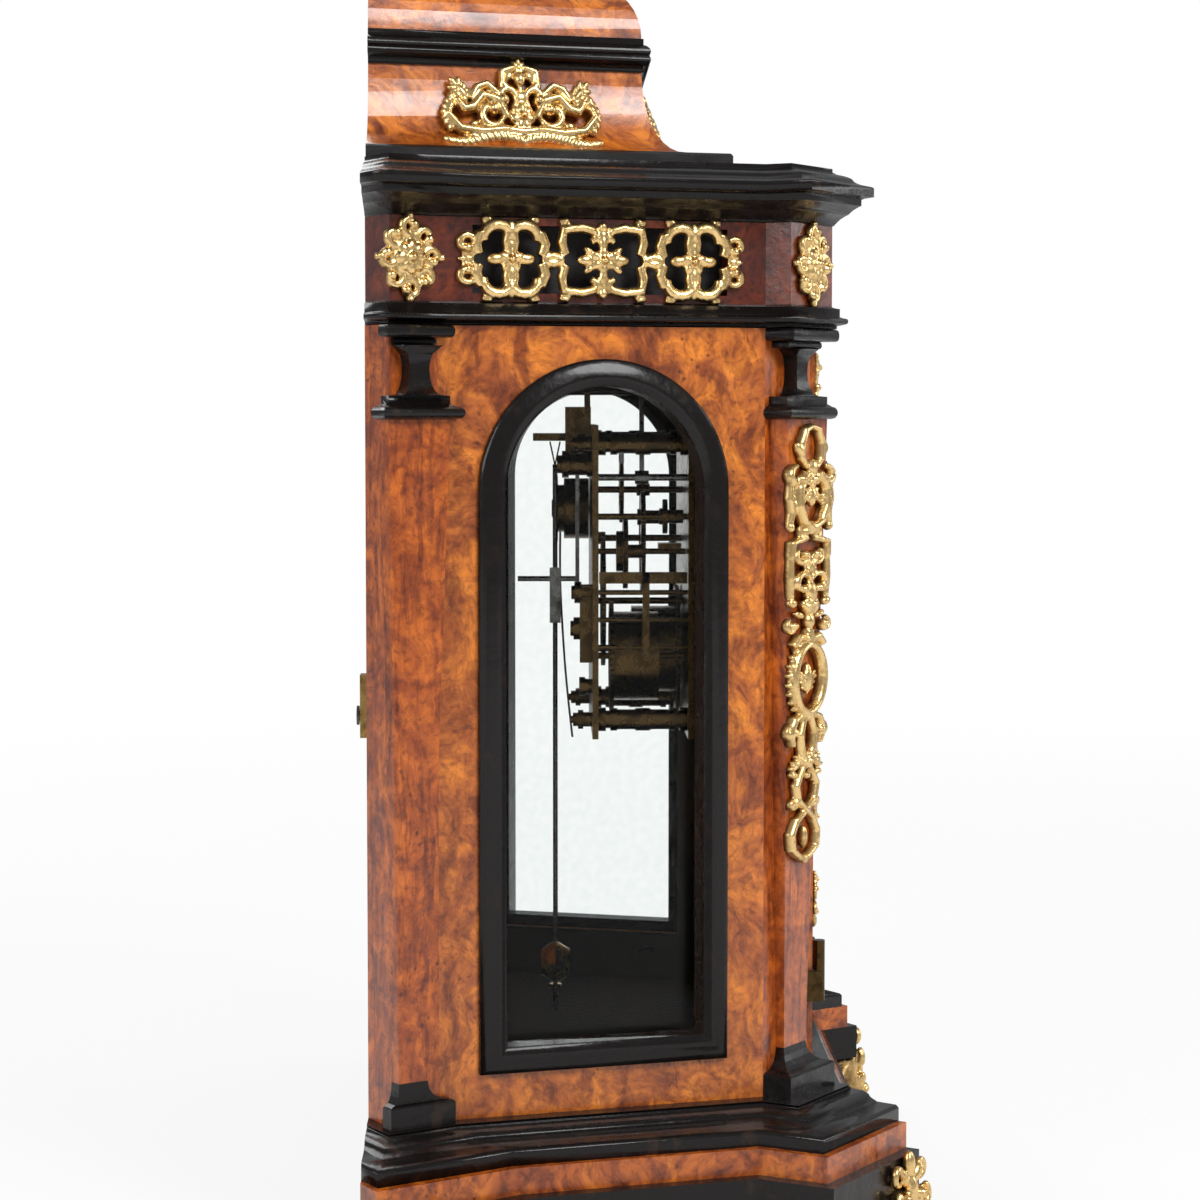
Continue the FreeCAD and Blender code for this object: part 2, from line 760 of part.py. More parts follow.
def ring_bar(x, z, radius, rod, depth):
    """A flat ring standing off the ground plane."""
    outer = Part.makeCylinder(radius + rod / 2, depth, V(x, 0, z), V(0, -1, 0))
    return outer.cut(Part.makeCylinder(radius - rod / 2, depth, V(x, 0, z), V(0, -1, 0)))


def knob(x, z, radius, depth):
    """A round boss."""
    return Part.makeCylinder(radius, depth, V(x, 0, z), V(0, -1, 0))


def bar(x0, z0, x1, z1, rod, depth):
    """A straight flat bar between two points."""
    run = V(x1 - x0, 0, z1 - z0)
    piece = Part.makeBox(run.Length, depth, rod, V(0, -depth, -rod / 2))
    turn = -math.degrees(math.atan2(z1 - z0, x1 - x0))
    piece.Placement = FreeCAD.Placement(V(x0, 0, z0), FreeCAD.Rotation(V(0, 1, 0), turn))
    return piece


def join(pieces):
    """One solid from overlapping pieces."""
    return pieces[0].multiFuse(pieces[1:]).removeSplitter()


def flower(x, z, radius, depth):
    """A boss with four petals and a raised centre."""
    petal = radius / 2
    pieces = [knob(x + petal, z, petal, depth), knob(x - petal, z, petal, depth),
              knob(x, z + petal, petal, depth),
              knob(x, z - petal, petal, depth), knob(x, z, petal, depth * 3 / 2)]
    return join(pieces)


def fret():
    """Three linked cartouches with a flower in each."""
    rod = d.fret_rod
    depth = d.casting_thickness
    cell = d.fret_length / 3
    rise = d.fret_height / 2
    pieces = []
    for place_x in (-cell, 0, cell):
        lobe = rise / 2
        for side in (-1, 1):
            pieces.append(ring_bar(place_x + side * cell / 4, lobe, lobe - rod / 2, rod, depth))
            pieces.append(ring_bar(place_x + side * cell / 4, -lobe, lobe - rod / 2, rod, depth))
            pieces.append(knob(place_x + side * cell / 2, 0, rod, depth))
            pieces.append(bar(place_x, 0, place_x + side * cell / 2, 0, rod, depth))
        pieces.append(flower(place_x, 0, lobe, depth))
    return join(pieces)


fret_shape = fret()
fret_right = to_face(Face(window_point - normal(d.wall_angle) * d.frieze_inset, d.wall_angle), 0,
                     opening_mid_z, fret_shape)
fret_front = to_face(front_wall_face, 0, opening_mid_z, fret_shape)
node("frieze_frets", group("frets", [pair("fret_right", shaped("fret_right", fret_right)),
                                     shaped("fret_front", fret_front)]))


def rosette():
    """A scrolled corner rosette."""
    depth = d.casting_thickness
    radius = d.rosette_radius
    rod = d.fret_rod
    pieces = [flower(0, 0, radius / 2, depth * 3 / 2), ring_bar(0, 0, radius * 2 / 3, rod, depth)]
    for turn in range(8):
        angle = math.radians(45 * turn)
        reach = radius if turn % 2 == 0 else radius * 0.95
        pieces.append(knob(reach * math.cos(angle) * 0.88, reach * math.sin(angle), rod, depth))
        pieces.append(bar(0, 0, reach * math.cos(angle) * 0.88, reach * math.sin(angle), rod, depth))
    return join(pieces)


rosette_shape = rosette()
frieze_mid_z = (d.frieze_z + d.cornice_z) / 2
rear_frieze = Face(rear_start - normal(d.rear_face_angle) * d.frieze_inset * REAR_SPREAD_SHARE,
                   d.rear_face_angle)
front_frieze = Face(facet_end - normal(d.front_face_angle) * d.frieze_inset, d.front_face_angle)
rosette_rear = to_face(rear_frieze, d.rear_face_width / 2, frieze_mid_z, rosette_shape)
rosette_front = to_face(front_frieze, d.front_face_width / 2, frieze_mid_z, rosette_shape)
frieze_solid = NODES["frieze_frame"].Shape
node("corner_rosettes",
     group("rosettes", [pair("rosette_rear", shaped("rosette_rear", rosette_rear.cut(frieze_solid))),
                                           pair("rosette_front",
                                                shaped("rosette_front", rosette_front.cut(frieze_solid)))]))


def pilaster_mount():
    """A long openwork mount that narrows downwards, in the plane of the pilaster's face."""
    rod = d.fret_rod
    depth = d.casting_thickness
    length = d.mount_length
    wide = d.mount_width / 2
    slim = d.mount_foot_width / 2
    pieces = [bar(0, 0, 0, -length, rod * 3 / 2, depth)]
    stages = 7
    for stage in range(stages):
        part = (stage + 0.5) / stages
        half = wide + (slim - wide) * part
        z = -length * part
        radius = min(half - rod / 2, length / stages / 2)
        pieces.append(ring_bar(0, z, radius, rod, depth))
        for side in (-1, 1):
            pieces.append(knob(side * (half - rod / 2), z, rod, depth))
    pieces.append(flower(0, -length * 0.36, wide * 0.8, depth))
    return join(pieces)


shaft_drop = d.front_shaft_top_proud - d.front_shaft_foot_proud
shaft_rise = d.shaft_top_z - d.cavetto_top_z
lean = math.degrees(math.atan2(shaft_drop, shaft_rise))
top_share = (d.shaft_top_z - d.mount_top_z) / shaft_rise
mount_out = d.front_shaft_top_proud - shaft_drop * top_share
mount_shape = pilaster_mount()
mount_shape.Placement = FreeCAD.Placement(V(0, 0, 0), FreeCAD.Rotation(V(1, 0, 0), lean))
mount_face = Face(front_corner + normal(d.front_face_angle) * mount_out, d.front_face_angle)
mount_placed = to_face(mount_face, d.front_shaft_centre, d.mount_top_z, mount_shape)
node("pilaster_mounts", pair("mount", shaped("mount", mount_placed)))

# Bell top


def bell_points(inset, front_y):
    """The bell's plan on the right: splayed side, flat front, flush back."""
    edge = window_point - normal(d.wall_angle) * inset
    back = V(0, back_y, 0)
    front = V(0, front_y, 0)
    return [crossing(edge, d.wall_angle, back, -90), crossing(edge, d.wall_angle, front, 90)]


def bell_wire(inset, front_y, z):
    """The bell's plan as a closed wire."""
    right = bell_points(inset, front_y)
    left = [V(-p.x, p.y, 0) for p in reversed(right)]
    ring = [V(p.x, p.y, z) for p in right + left]
    return Part.makePolygon(ring + ring[:1])


def bell_stack(name, levels):
    """A solid ruled between bell plans at (inset, height) levels; the front moves back with the inset."""
    wires = [bell_wire(d.bell_inset + inset, d.bell_front_y + inset, z) for inset, z in levels]
    return shaped(name, Part.makeLoft(wires, True, True))


bell_plinth_wires = [bell_wire(d.bell_inset - lip, d.bell_plinth_front_y - lip, z) for lip, z in
                     ((1, d.case_top_z), (1, d.bell_base_z - 1), (0, d.bell_base_z))]
bell_plinth = shaped("bell_plinth", Part.makeLoft(bell_plinth_wires, True, True))
CURVE_STEPS = 9
flare_levels = []
dome_levels = []
for curve_step in range(CURVE_STEPS + 1):
    bend = math.radians(90 * curve_step / CURVE_STEPS)
    flare_levels.append((d.bell_flare * math.sin(bend),
                         d.bell_base_z + (d.bell_moulding_z - d.bell_base_z) * (1 - math.cos(bend))))
    dome_levels.append((d.bell_flare + d.bell_dome_inset * (1 - math.cos(bend)),
                        d.bell_upper_z + (d.bell_top_z - d.bell_upper_z) * math.sin(bend)))
node("bell_lower", fuse("bell_lower", [bell_plinth, bell_stack("bell_flare", flare_levels)]))
BELL_BAND_SHARES = [(0.3, 0), (0.3, 0.18), (0.6, 0.2), (1, 0.5, 0.35), (0.6, 0.8, 0.35), (0.3, 0.82),
                    (0.3, 1)]
band_levels = [(d.bell_flare - reach, z) for reach, z in
               scaled(BELL_BAND_SHARES, 0, d.bell_moulding_reach, d.bell_moulding_z, d.bell_upper_z)]
node("bell_moulding", bell_stack("bell_moulding", band_levels))

cap = box("cap", ("bell_dome_inset * 4", "bell_dome_inset * 2", "cap_top_z - bell_top_z"),
          ("-bell_dome_inset * 2", "case_depth / 4 - bell_dome_inset", "bell_top_z"))
node("bell_upper", fuse("bell_upper", [bell_stack("bell_dome", dome_levels), cap]))

FINIAL_SHARES = [(0, 0), (0.75, 0), (0.75, 0.06), (0.4, 0.12), (0.28, 0.22), (0.45, 0.26), (0.45, 0.3),
                 (0.3, 0.33),
                 (1, 0.5), (0.95, 0.62), (0.45, 0.7), (0.3, 0.73), (0.42, 0.78), (0.25, 0.9), (0.12, 0.97),
                 (0, 1)]


def turned(shares, radius, height, base):
    """A turned piece about Z through base from (radius, height) shares."""
    points = [V(base.x + radius * u, base.y, base.z + height * v) for u, v in shares]
    wire = Part.makePolygon(points + points[:1])
    return Part.Face(wire).revolve(base, V(0, 0, 1), 360)


finial_base = V(0, back_y / 2, d.cap_top_z)
node("finial",
     shaped("finial", turned(FINIAL_SHARES, d.finial_radius, d.clock_height - d.cap_top_z, finial_base)))

# Mounts on the bell's side and front: a palmette between two scrolls


def bell_mount():
    """A low cartouche: gadrooned rim, two scrolls and a palmette."""
    rod = d.fret_rod
    depth = d.casting_thickness
    half = d.bell_mount_width / 2
    rise = d.bell_mount_height
    pieces = [bar(-half + rod, -rise / 2 + rod, half - rod, -rise / 2 + rod, rod * 2, depth),
              bar(0, -rise / 2, 0, rise / 2 - rod, rod * 2, depth),
              flower(0, rise / 4, rise / 5, depth), flower(0, -rise / 6, rise / 4, depth)]
    for side in (-1, 1):
        pieces.append(ring_bar(side * half / 3, -rise / 5, rise / 4, rod, depth))
        pieces.append(ring_bar(side * half * 0.68, -rise / 6, rise / 4, rod, depth))
        pieces.append(bar(0, rise / 8, side * half * 0.8, rise / 5, rod, depth))
        pieces.append(knob(side * half * 0.8, rise / 5, rod, depth))
    return join(pieces)


mount_rise = d.bell_moulding_z - d.bell_base_z
mount_tilt = math.degrees(math.atan2(d.bell_flare / 2, mount_rise))
tilted = bell_mount()
tilted.Placement = FreeCAD.Placement(V(0, 0, 0), FreeCAD.Rotation(V(1, 0, 0), -mount_tilt))
mount_mid_z = (d.bell_base_z + d.bell_moulding_z) / 2
mount_sink = d.bell_flare * 0.72
bell_side_point = window_point - normal(d.wall_angle) * (d.bell_inset + mount_sink)
bell_side = to_face(Face(bell_side_point, d.wall_angle), -d.bell_flare * 1.3, mount_mid_z, tilted)
bell_front = to_face(Face(V(0, d.bell_front_y + mount_sink, 0), 90), 0, mount_mid_z, tilted)
doc.recompute()
bell_solid = NODES["bell_lower"].Shape
node("bell_mounts", group("bell_mounts", [pair("bell_side", shaped("bell_side", bell_side.cut(bell_solid))),
                                          shaped("bell_front", bell_front.cut(bell_solid))]))

# Feet: a sole block under the plinth, a scroll toe and a leaf that laps the plinth's face


def foot(face, run):
    """One scroll foot standing under a plinth face."""
    half = d.foot_width / 2
    reach = d.foot_reach
    sole = Part.makeBox(d.foot_width, d.foot_length, d.plinth_z, V(-half, -d.leaf_thickness, 0))
    heel = Part.makeCylinder(d.plinth_z - d.foot_sole, d.foot_width,
                             V(-half, d.foot_length - d.leaf_thickness, 0),
                             V(1, 0, 0))
    body = sole.cut(heel)
    leaf = Part.makeBox(d.foot_width * 2 / 3, d.leaf_thickness, d.leaf_top_z - d.plinth_z,
                        V(-half * 2 / 3, -d.leaf_thickness, d.plinth_z))
    crown = Part.makeCylinder(half * 2 / 3, d.leaf_thickness, V(0, 0, d.leaf_top_z - half * 2 / 3),
                              V(0, -1, 0))
    toe = Part.makeCylinder(d.toe_radius, d.foot_width, V(-half, -reach + d.toe_radius, d.toe_radius),
                            V(1, 0, 0))
    neck = Part.makeBox(d.foot_width, reach - d.toe_radius, d.foot_sole, V(-half, d.toe_radius - reach, 0))
    shin = Part.makeCylinder(d.toe_radius, d.foot_width,
                             V(-half, -d.toe_radius / 2, d.plinth_z - d.toe_radius),
                             V(1, 0, 0))
    leaf = leaf.fuse(crown.common(Part.makeBox(d.foot_width, d.leaf_thickness, d.leaf_top_z,
                                               V(-half, -d.leaf_thickness, d.plinth_z))))
    piece = join([body, toe, neck, shin, leaf])
    return to_face(face, run, 0, piece)


plinth_right = side_points(d.plinth_reach)
front_foot_face = Face(plinth_right[4], d.front_face_angle)
front_plinth_run = (plinth_right[5] - plinth_right[4]).Length
front_foot_run = front_plinth_run - d.foot_width / 2
rear_foot_face = Face(plinth_right[1], d.rear_face_angle)
rear_foot_run = (plinth_right[2] - plinth_right[1]).Length / 2
feet_front = shaped("foot_front", foot(front_foot_face, front_foot_run))
feet_rear = shaped("foot_rear", foot(rear_foot_face, rear_foot_run))
node("feet", group("feet", [pair("feet_front", feet_front), pair("feet_rear", feet_rear)]))

# Front frame: a mask behind the door that holds the dial and closes the space below it

frame_back_y = d.recess_y + d.front_frame_thickness
mask = flat_box(-d.door_half_width, d.door_half_width, -frame_back_y, -d.recess_y, d.body_z, d.architrave_z)
mask_hole = arch_stack(d.dial_half_width - d.front_frame_border / 3, d.dial_floor_z + d.front_frame_border,
                       d.door_arch_z,
                       [(0, -frame_back_y - d.wall_thickness), (0, -d.recess_y + d.wall_thickness)])
node("front_frame", shaped("front_frame", mask.cut(mask_hole)))

# Front door: walnut frame with a round-headed glass, ebonised moulding, gilt castings and pin hinges

door_back = -d.recess_y + d.door_gap
door_front = door_back + d.door_thickness
door_half = d.door_half_width - d.door_gap
door_board = flat_box(-door_half, door_half, door_back, door_front, d.door_low_z, d.door_high_z)
door_hole = arch_stack(d.door_opening_radius, d.door_opening_low_z, d.door_arch_z,
                       [(0, door_back - d.wall_thickness), (0, door_front + d.wall_thickness)])
door_rebate = arch_stack(d.door_opening_radius, d.door_opening_low_z, d.door_arch_z,
                         [(d.glass_lap + d.hinge_gap, door_back - d.wall_thickness),
                          (d.glass_lap + d.hinge_gap, door_back + d.glass_thickness)])
hinge_x = -door_half
hinge_y = -door_front - d.hinge_radius
node("front_door", shaped("front_door", door_board.cut(door_hole).cut(door_rebate)))
door_glass = arch_stack(d.door_opening_radius, d.door_opening_low_z, d.door_arch_z,
                        [(d.glass_lap, door_back), (d.glass_lap, door_back + d.glass_thickness)])
node("front_door_glass", shaped("front_door_glass", door_glass))
TRIM_SHARES = [(1, 0), (0.95, 0.4), (0.8, 0.75), (0.62, 0.95), (0.5, 1)]


def door_ring(levels):
    """A solid ruled between outlines round the door's opening."""
    return arch_stack(d.door_opening_radius, d.door_opening_low_z, d.door_arch_z, levels)


trim_outer = [(d.door_moulding_width * u, door_front + d.door_moulding_height * v) for u, v in TRIM_SHARES]
trim_inner = [(d.door_moulding_width * (1 - u), door_front + d.door_moulding_height * v) for u,
              v in TRIM_SHARES]
trim_hole = door_ring([(0, door_front - d.door_moulding_height),
                       (0, door_front + 2 * d.door_moulding_height)])
trim_funnel = door_ring(trim_inner + [(trim_inner[-1][0], door_front + 2 * d.door_moulding_height)])
node("front_door_moulding",
     shaped("front_door_moulding", door_ring(trim_outer).cut(trim_hole).cut(trim_funnel)))


def apron_mount():
    """The gilt casting on the door's lower panel."""
    rod = d.fret_rod
    depth = d.casting_thickness
    rise = d.bell_mount_height
    pieces = [flower(0, 0, rise / 2, depth), bar(-rise * 1.6, 0, rise * 1.6, 0, rod, depth)]
    for side in (-1, 1):
        for step in (0.75, 1.25, 1.6):
            pieces.append(ring_bar(side * rise * step, 0, rise * (0.5 - step / 5), rod, depth))
    return join(pieces)


def corner_mount(side):
    """A gilt casting for an upper corner of the door."""
    rod = d.fret_rod
    depth = d.casting_thickness
    size = d.rosette_radius * 0.62
    pieces = [flower(0, 0, size, depth), bar(0, 0, side * size * 1.2, size * 0.6, rod, depth),
              bar(0, 0, side * size * 0.5, -size * 2, rod, depth),
              ring_bar(side * size * 0.5, -size * 2, size / 2, rod, depth)]
    return join(pieces)


door_face = Face(V(0, -door_front, 0), 90)
apron_z = (d.door_low_z + d.door_opening_low_z - d.door_moulding_width) / 2
corner_x = d.door_half_width - d.rosette_radius
corner_z = d.door_high_z - d.rosette_radius
door_mounts = [shaped("apron", to_face(door_face, 0, apron_z, apron_mount()))]
for side in (-1, 1):
    door_mounts.append(shaped("door_corner",
                              to_face(door_face, -side * corner_x, corner_z, corner_mount(side))))
    strip = [bar(0, -d.opening_length / 2, 0, d.opening_length / 2, d.fret_rod, d.casting_thickness)]
    for step in range(-2, 3):
        strip.append(flower(0, step * d.opening_length / 4.6, d.fret_rod * 1.9, d.casting_thickness))
    door_mounts.append(shaped("door_strip",
                              to_face(door_face, -side * (d.door_half_width - 2.6 * d.fret_rod),
                                                    (d.door_opening_low_z + d.door_arch_z) / 2,
                                      join(strip))))
plate_depth = d.casting_thickness / 2
escutcheon = join([knob(0, 0, d.hinge_radius * 2, plate_depth),
                   flower(0, 3 * d.hinge_radius, d.hinge_radius * 3 / 2, plate_depth),
                   bar(0, -3 * d.hinge_radius, 0, 3 * d.hinge_radius, d.hinge_radius, plate_depth)])
escutcheon_z = d.door_opening_low_z - 2 * d.rosette_radius
escutcheon_run = d.rosette_radius / 2 - d.door_half_width
door_mounts.append(shaped("escutcheon", to_face(door_face, escutcheon_run, escutcheon_z, escutcheon)))
node("front_door_mounts", group("door_mounts", door_mounts))
hinge_knuckles = []
hinge_pins = []
half_knuckle = d.hinge_length / 2
left_post = front_post.Shape.mirror(V(0, 0, 0), V(1, 0, 0))
left_shaft = front_shaft.mirror(V(0, 0, 0), V(1, 0, 0))
for low in (d.hinge_low_z, d.hinge_high_z):
    leaf_tab = Part.makeBox(3 * d.hinge_radius, d.hinge_radius / 2, half_knuckle - d.hinge_gap,
                            V(hinge_x, -door_front - d.hinge_radius / 2, low + half_knuckle + d.hinge_gap))
    upper = Part.makeCylinder(d.hinge_radius, half_knuckle - d.hinge_gap,
                              V(hinge_x, hinge_y, low + half_knuckle + d.hinge_gap))
    lower = Part.makeCylinder(d.hinge_radius, half_knuckle, V(hinge_x, hinge_y, low))
    tab_x = -d.door_half_width - d.hinge_radius
    fixed_tab = Part.makeBox(d.hinge_radius - d.hinge_gap, 3 * d.hinge_radius, half_knuckle,
                             V(tab_x, hinge_y, low))
    hinge_knuckles.append(shaped("door_knuckle", upper.fuse(leaf_tab)))
    hinge_pins.append(shaped("post_knuckle", lower.fuse(fixed_tab.cut(left_post).cut(left_shaft))))
node("door_hinge_leaves", group("door_hinge_leaves", hinge_knuckles))

# Back: fixed frame, framed door with a panel, turn button

back_board = box("back_board",
                 ("2 * back_frame_half_width", "back_frame_thickness", "architrave_z - body_z"),
                 ("-back_frame_half_width", "case_depth / 2 - back_frame_thickness", "body_z"))
upper_board = box("upper_board", ("2 * back_frame_half_width - 2 * glass_lap", "back_frame_thickness",
                                  "case_top_z - wall_thickness - architrave_z"),
                  ("-back_frame_half_width + glass_lap", "case_depth / 2 - back_frame_thickness",
                   "architrave_z"))
back_hole = box("back_hole", ("2 * back_door_half_width + 2 * door_gap", "3 * back_frame_thickness",
                              "back_door_high_z - back_door_low_z + 2 * door_gap"),
                ("-back_door_half_width - door_gap", "case_depth / 2 - 2 * back_frame_thickness",
                 "back_door_low_z - door_gap"))
node("back_frame", cut("back_frame", fuse("back_boards", [back_board, upper_board]), [back_hole]))
back_leaf = box("back_leaf",
                ("2 * back_door_half_width", "back_door_thickness", "back_door_high_z - back_door_low_z"),
                ("-back_door_half_width", "case_depth / 2 - back_door_thickness", "back_door_low_z"))
back_field = box("back_field", ("2 * back_door_half_width - 2 * back_stile_width",
                                "back_door_thickness - back_panel_thickness + door_gap",
                                "back_door_high_z - back_door_low_z - 2 * back_stile_width"),
                 ("-back_door_half_width + back_stile_width",
                  "case_depth / 2 - back_door_thickness + back_panel_thickness",
                  "back_door_low_z + back_stile_width"))
turn_z = "back_door_high_z / 2 + back_door_low_z / 2"
node("back_door", cut("back_door", back_leaf, [back_field]))
back_knuckles = []
back_hinge_x = d.back_door_half_width + d.door_gap / 2
back_hinge_y = back_y + d.hinge_radius
for low in (d.hinge_low_z + d.hinge_length / 2, d.hinge_high_z - d.hinge_length):
    pin = Part.makeCylinder(d.hinge_radius, d.hinge_length / 2 - d.hinge_gap,
                            V(back_hinge_x, back_hinge_y, low))
    tab = Part.makeBox(d.hinge_length / 2, d.hinge_radius / 2, d.hinge_length / 2 - d.hinge_gap,
                       V(back_hinge_x - d.hinge_length / 2, back_y, low))
    back_knuckles.append(shaped("back_door_knuckle", pin.fuse(tab)))
node("back_door_hinges", group("back_door_hinges", back_knuckles))
for low in (d.hinge_low_z + d.hinge_length / 2, d.hinge_high_z - d.hinge_length):
    pin = Part.makeCylinder(d.hinge_radius, d.hinge_length / 2,
                            V(back_hinge_x, back_hinge_y, low - d.hinge_length / 2))
    tab = Part.makeBox(d.hinge_length / 2, d.hinge_radius / 2, d.hinge_length / 2,
                       V(back_hinge_x, back_y, low - d.hinge_length / 2))
    hinge_pins.append(shaped("back_frame_knuckle", pin.fuse(tab)))
node("fixed_hinge_leaves", group("fixed_hinge_leaves", hinge_pins))
turn_bar = box("turn_bar", ("turn_width", "turn_thickness", "turn_length"),
               ("-back_door_half_width - turn_width * 3 / 2", "case_depth / 2 + side_clearance",
                turn_z + " - turn_width"))
turn_hole = cylinder("turn_hole", "turn_pin_radius + turn_pin_gap", "3 * turn_thickness",
                     ("-back_door_half_width - turn_width", "case_depth / 2 - turn_thickness", turn_z))
node("back_turn", cut("back_turn", turn_bar, [turn_hole]))
turn_screw = fuse("turn_screw", [
    cylinder("turn_pin", "turn_pin_radius", "turn_thickness + 2 * side_clearance",
             ("-back_door_half_width - turn_width", "case_depth / 2", turn_z)),
    cylinder("turn_head", "2 * turn_pin_radius", "turn_pin_radius / 2",
             ("-back_door_half_width - turn_width", "case_depth / 2 + turn_thickness + 2 * side_clearance",
              turn_z))])
node("back_turn_screw", turn_screw)

# Movement: two plates on four pillars, carried by the dial's feet

plate_low = "plate_low_z"
front_plate = box("front_plate", ("2 * plate_half_width", "plate_thickness", "plate_high_z - plate_low_z"),
                  ("-plate_half_width", "front_plate_y - plate_thickness", plate_low))
back_plate = box("back_plate", ("2 * plate_half_width", "plate_thickness", "plate_high_z - plate_low_z"),
                 ("-plate_half_width", "back_plate_y", plate_low))


def teeth_wire(teeth, module, addendum, dedendum, tip_share, root_share, phase):
    """A toothed outline in the XZ plane about the origin, phase in tooth pitches."""
    pitch_radius = teeth * module / 2
    points = []
    for tooth in range(teeth):
        centre = 2 * math.pi * (tooth + phase) / teeth
        half = math.pi / teeth
        for share, radius in ((-root_share, pitch_radius - dedendum),
                              (-(root_share + tip_share) / 2, pitch_radius),
                              (-tip_share, pitch_radius + addendum), (tip_share, pitch_radius + addendum),
                              ((root_share + tip_share) / 2, pitch_radius),
                              (root_share, pitch_radius - dedendum)):
            angle = centre + share * half
            points.append(V(radius * math.sin(angle), 0, radius * math.cos(angle)))
    return Part.makePolygon(points + points[:1])


WHEEL_TIP_SHARE = 0.16
WHEEL_ROOT_SHARE = 0.5
PINION_TIP_SHARE = 0.1
PINION_ROOT_SHARE = 0.34


def wheel(teeth, module, phase):
    """A thin wheel with crossings, its front face at y = 0."""
    face = Part.Face(teeth_wire(teeth, module, module * 0.85, module * 1.25, WHEEL_TIP_SHARE,
                                WHEEL_ROOT_SHARE, phase))
    disc = face.extrude(V(0, d.wheel_thickness, 0))
    rim = teeth * module / 2 - module * 3.2
    hub = d.arbor_radius * 2.4
    if rim > hub * 2:
        gap = Part.makeCylinder(rim, d.wheel_thickness, V(0, 0, 0), V(0, 1, 0))
        gap = gap.cut(Part.makeCylinder(hub, d.wheel_thickness, V(0, 0, 0), V(0, 1, 0)))
        for spoke in range(4):
            arm = Part.makeBox(hub * 0.8, d.wheel_thickness, rim * 2, V(-hub * 0.4, 0, 0))
            arm.rotate(V(0, 0, 0), V(0, 1, 0), 90 * spoke + 45)
            gap = gap.cut(arm)
        disc = disc.cut(gap)
    return disc


def pinion(leaves, module, length, phase):
    """A pinion, its front face at y = 0."""
    face = Part.Face(teeth_wire(leaves, module, module * 0.55, module * 1.25, PINION_TIP_SHARE,
                                PINION_ROOT_SHARE, phase))
    return face.extrude(V(0, length, 0))


def arbor(radius, low_y, high_y):
    """A plain round arbor on the Y axis."""
    return Part.makeCylinder(radius, high_y - low_y, V(0, low_y, 0), V(0, 1, 0))


def moved(shape, x, y, z):
    """A copy of a shape carried to a point."""
    piece = shape.copy()
    piece.translate(V(x, y, z))
    return piece


def facing_phase(teeth, angle):
    """Phase, in pitches, that points a tooth in a direction (clockwise from up, seen along +Y)."""
    return angle / (2 * math.pi) * teeth


def gap_phase(teeth, angle, mate_teeth, mate_phase):
    """Phase that puts this gear in mesh with a mate that lies in the given direction."""
    back_angle = angle + math.pi
    ahead = mate_phase - facing_phase(mate_teeth, back_angle)
    return facing_phase(teeth, angle) + 0.5 - ahead


def bearing(start, end):
    """Direction from one arbor to another, clockwise from up seen along +Y."""
    return math.atan2(end.x - start.x, end.z - start.z)


GREAT_TEETH = 72
STRIKE_TEETH = 60
CENTRE_TEETH = 72
THIRD_TEETH = 60
PINION_LEAVES = 6
ESCAPE_TEETH = 24
CANNON_TEETH = 10
MINUTE_TEETH = 30
MINUTE_LEAVES = 8
HOUR_TEETH = 32

gear_span = (GREAT_TEETH + PINION_LEAVES) * d.train_module / 2
centre_span = (CENTRE_TEETH + PINION_LEAVES) * d.train_module / 2
third_span = (THIRD_TEETH + PINION_LEAVES) * d.train_module / 2
motion_span = (CANNON_TEETH + MINUTE_TEETH) * d.motion_module / 2
centre_point = V(0, 0, d.barrel_z + math.sqrt(gear_span ** 2 - d.barrel_x ** 2))
escape_point = V(0, 0, d.suspension_z - d.escape_drop)
centre_to_escape = escape_point.z - centre_point.z
third_rise = (centre_span ** 2 - third_span ** 2 + centre_to_escape ** 2) / (2 * centre_to_escape)
third_point = V(math.sqrt(centre_span ** 2 - third_rise ** 2), 0, centre_point.z + third_rise)
barrel_point = V(d.barrel_x, 0, d.barrel_z)
strike_point = V(-d.barrel_x, 0, d.barrel_z)
minute_point = centre_point + V(0, 0, motion_span)
pallet_point = V(0, 0, d.suspension_z)
inner_front = d.front_plate_y
inner_back = d.back_plate_y
pivot_depth = d.plate_thickness * 0.7
dial_front = d.recess_y + d.front_frame_thickness
great_phase = 0
centre_pinion_phase = gap_phase(PINION_LEAVES, bearing(centre_point, barrel_point), GREAT_TEETH, great_phase)
centre_wheel_phase = 0
third_pinion_phase = gap_phase(PINION_LEAVES, bearing(third_point, centre_point), CENTRE_TEETH,
                               centre_wheel_phase)
third_wheel_phase = 0
escape_pinion_phase = gap_phase(PINION_LEAVES, bearing(escape_point, third_point), THIRD_TEETH,
                                third_wheel_phase)
cannon_phase = 0
minute_wheel_phase = gap_phase(MINUTE_TEETH, bearing(minute_point, centre_point), CANNON_TEETH, cannon_phase)
minute_pinion_phase = 0
hour_phase = gap_phase(HOUR_TEETH, bearing(centre_point, minute_point), MINUTE_LEAVES, minute_pinion_phase)


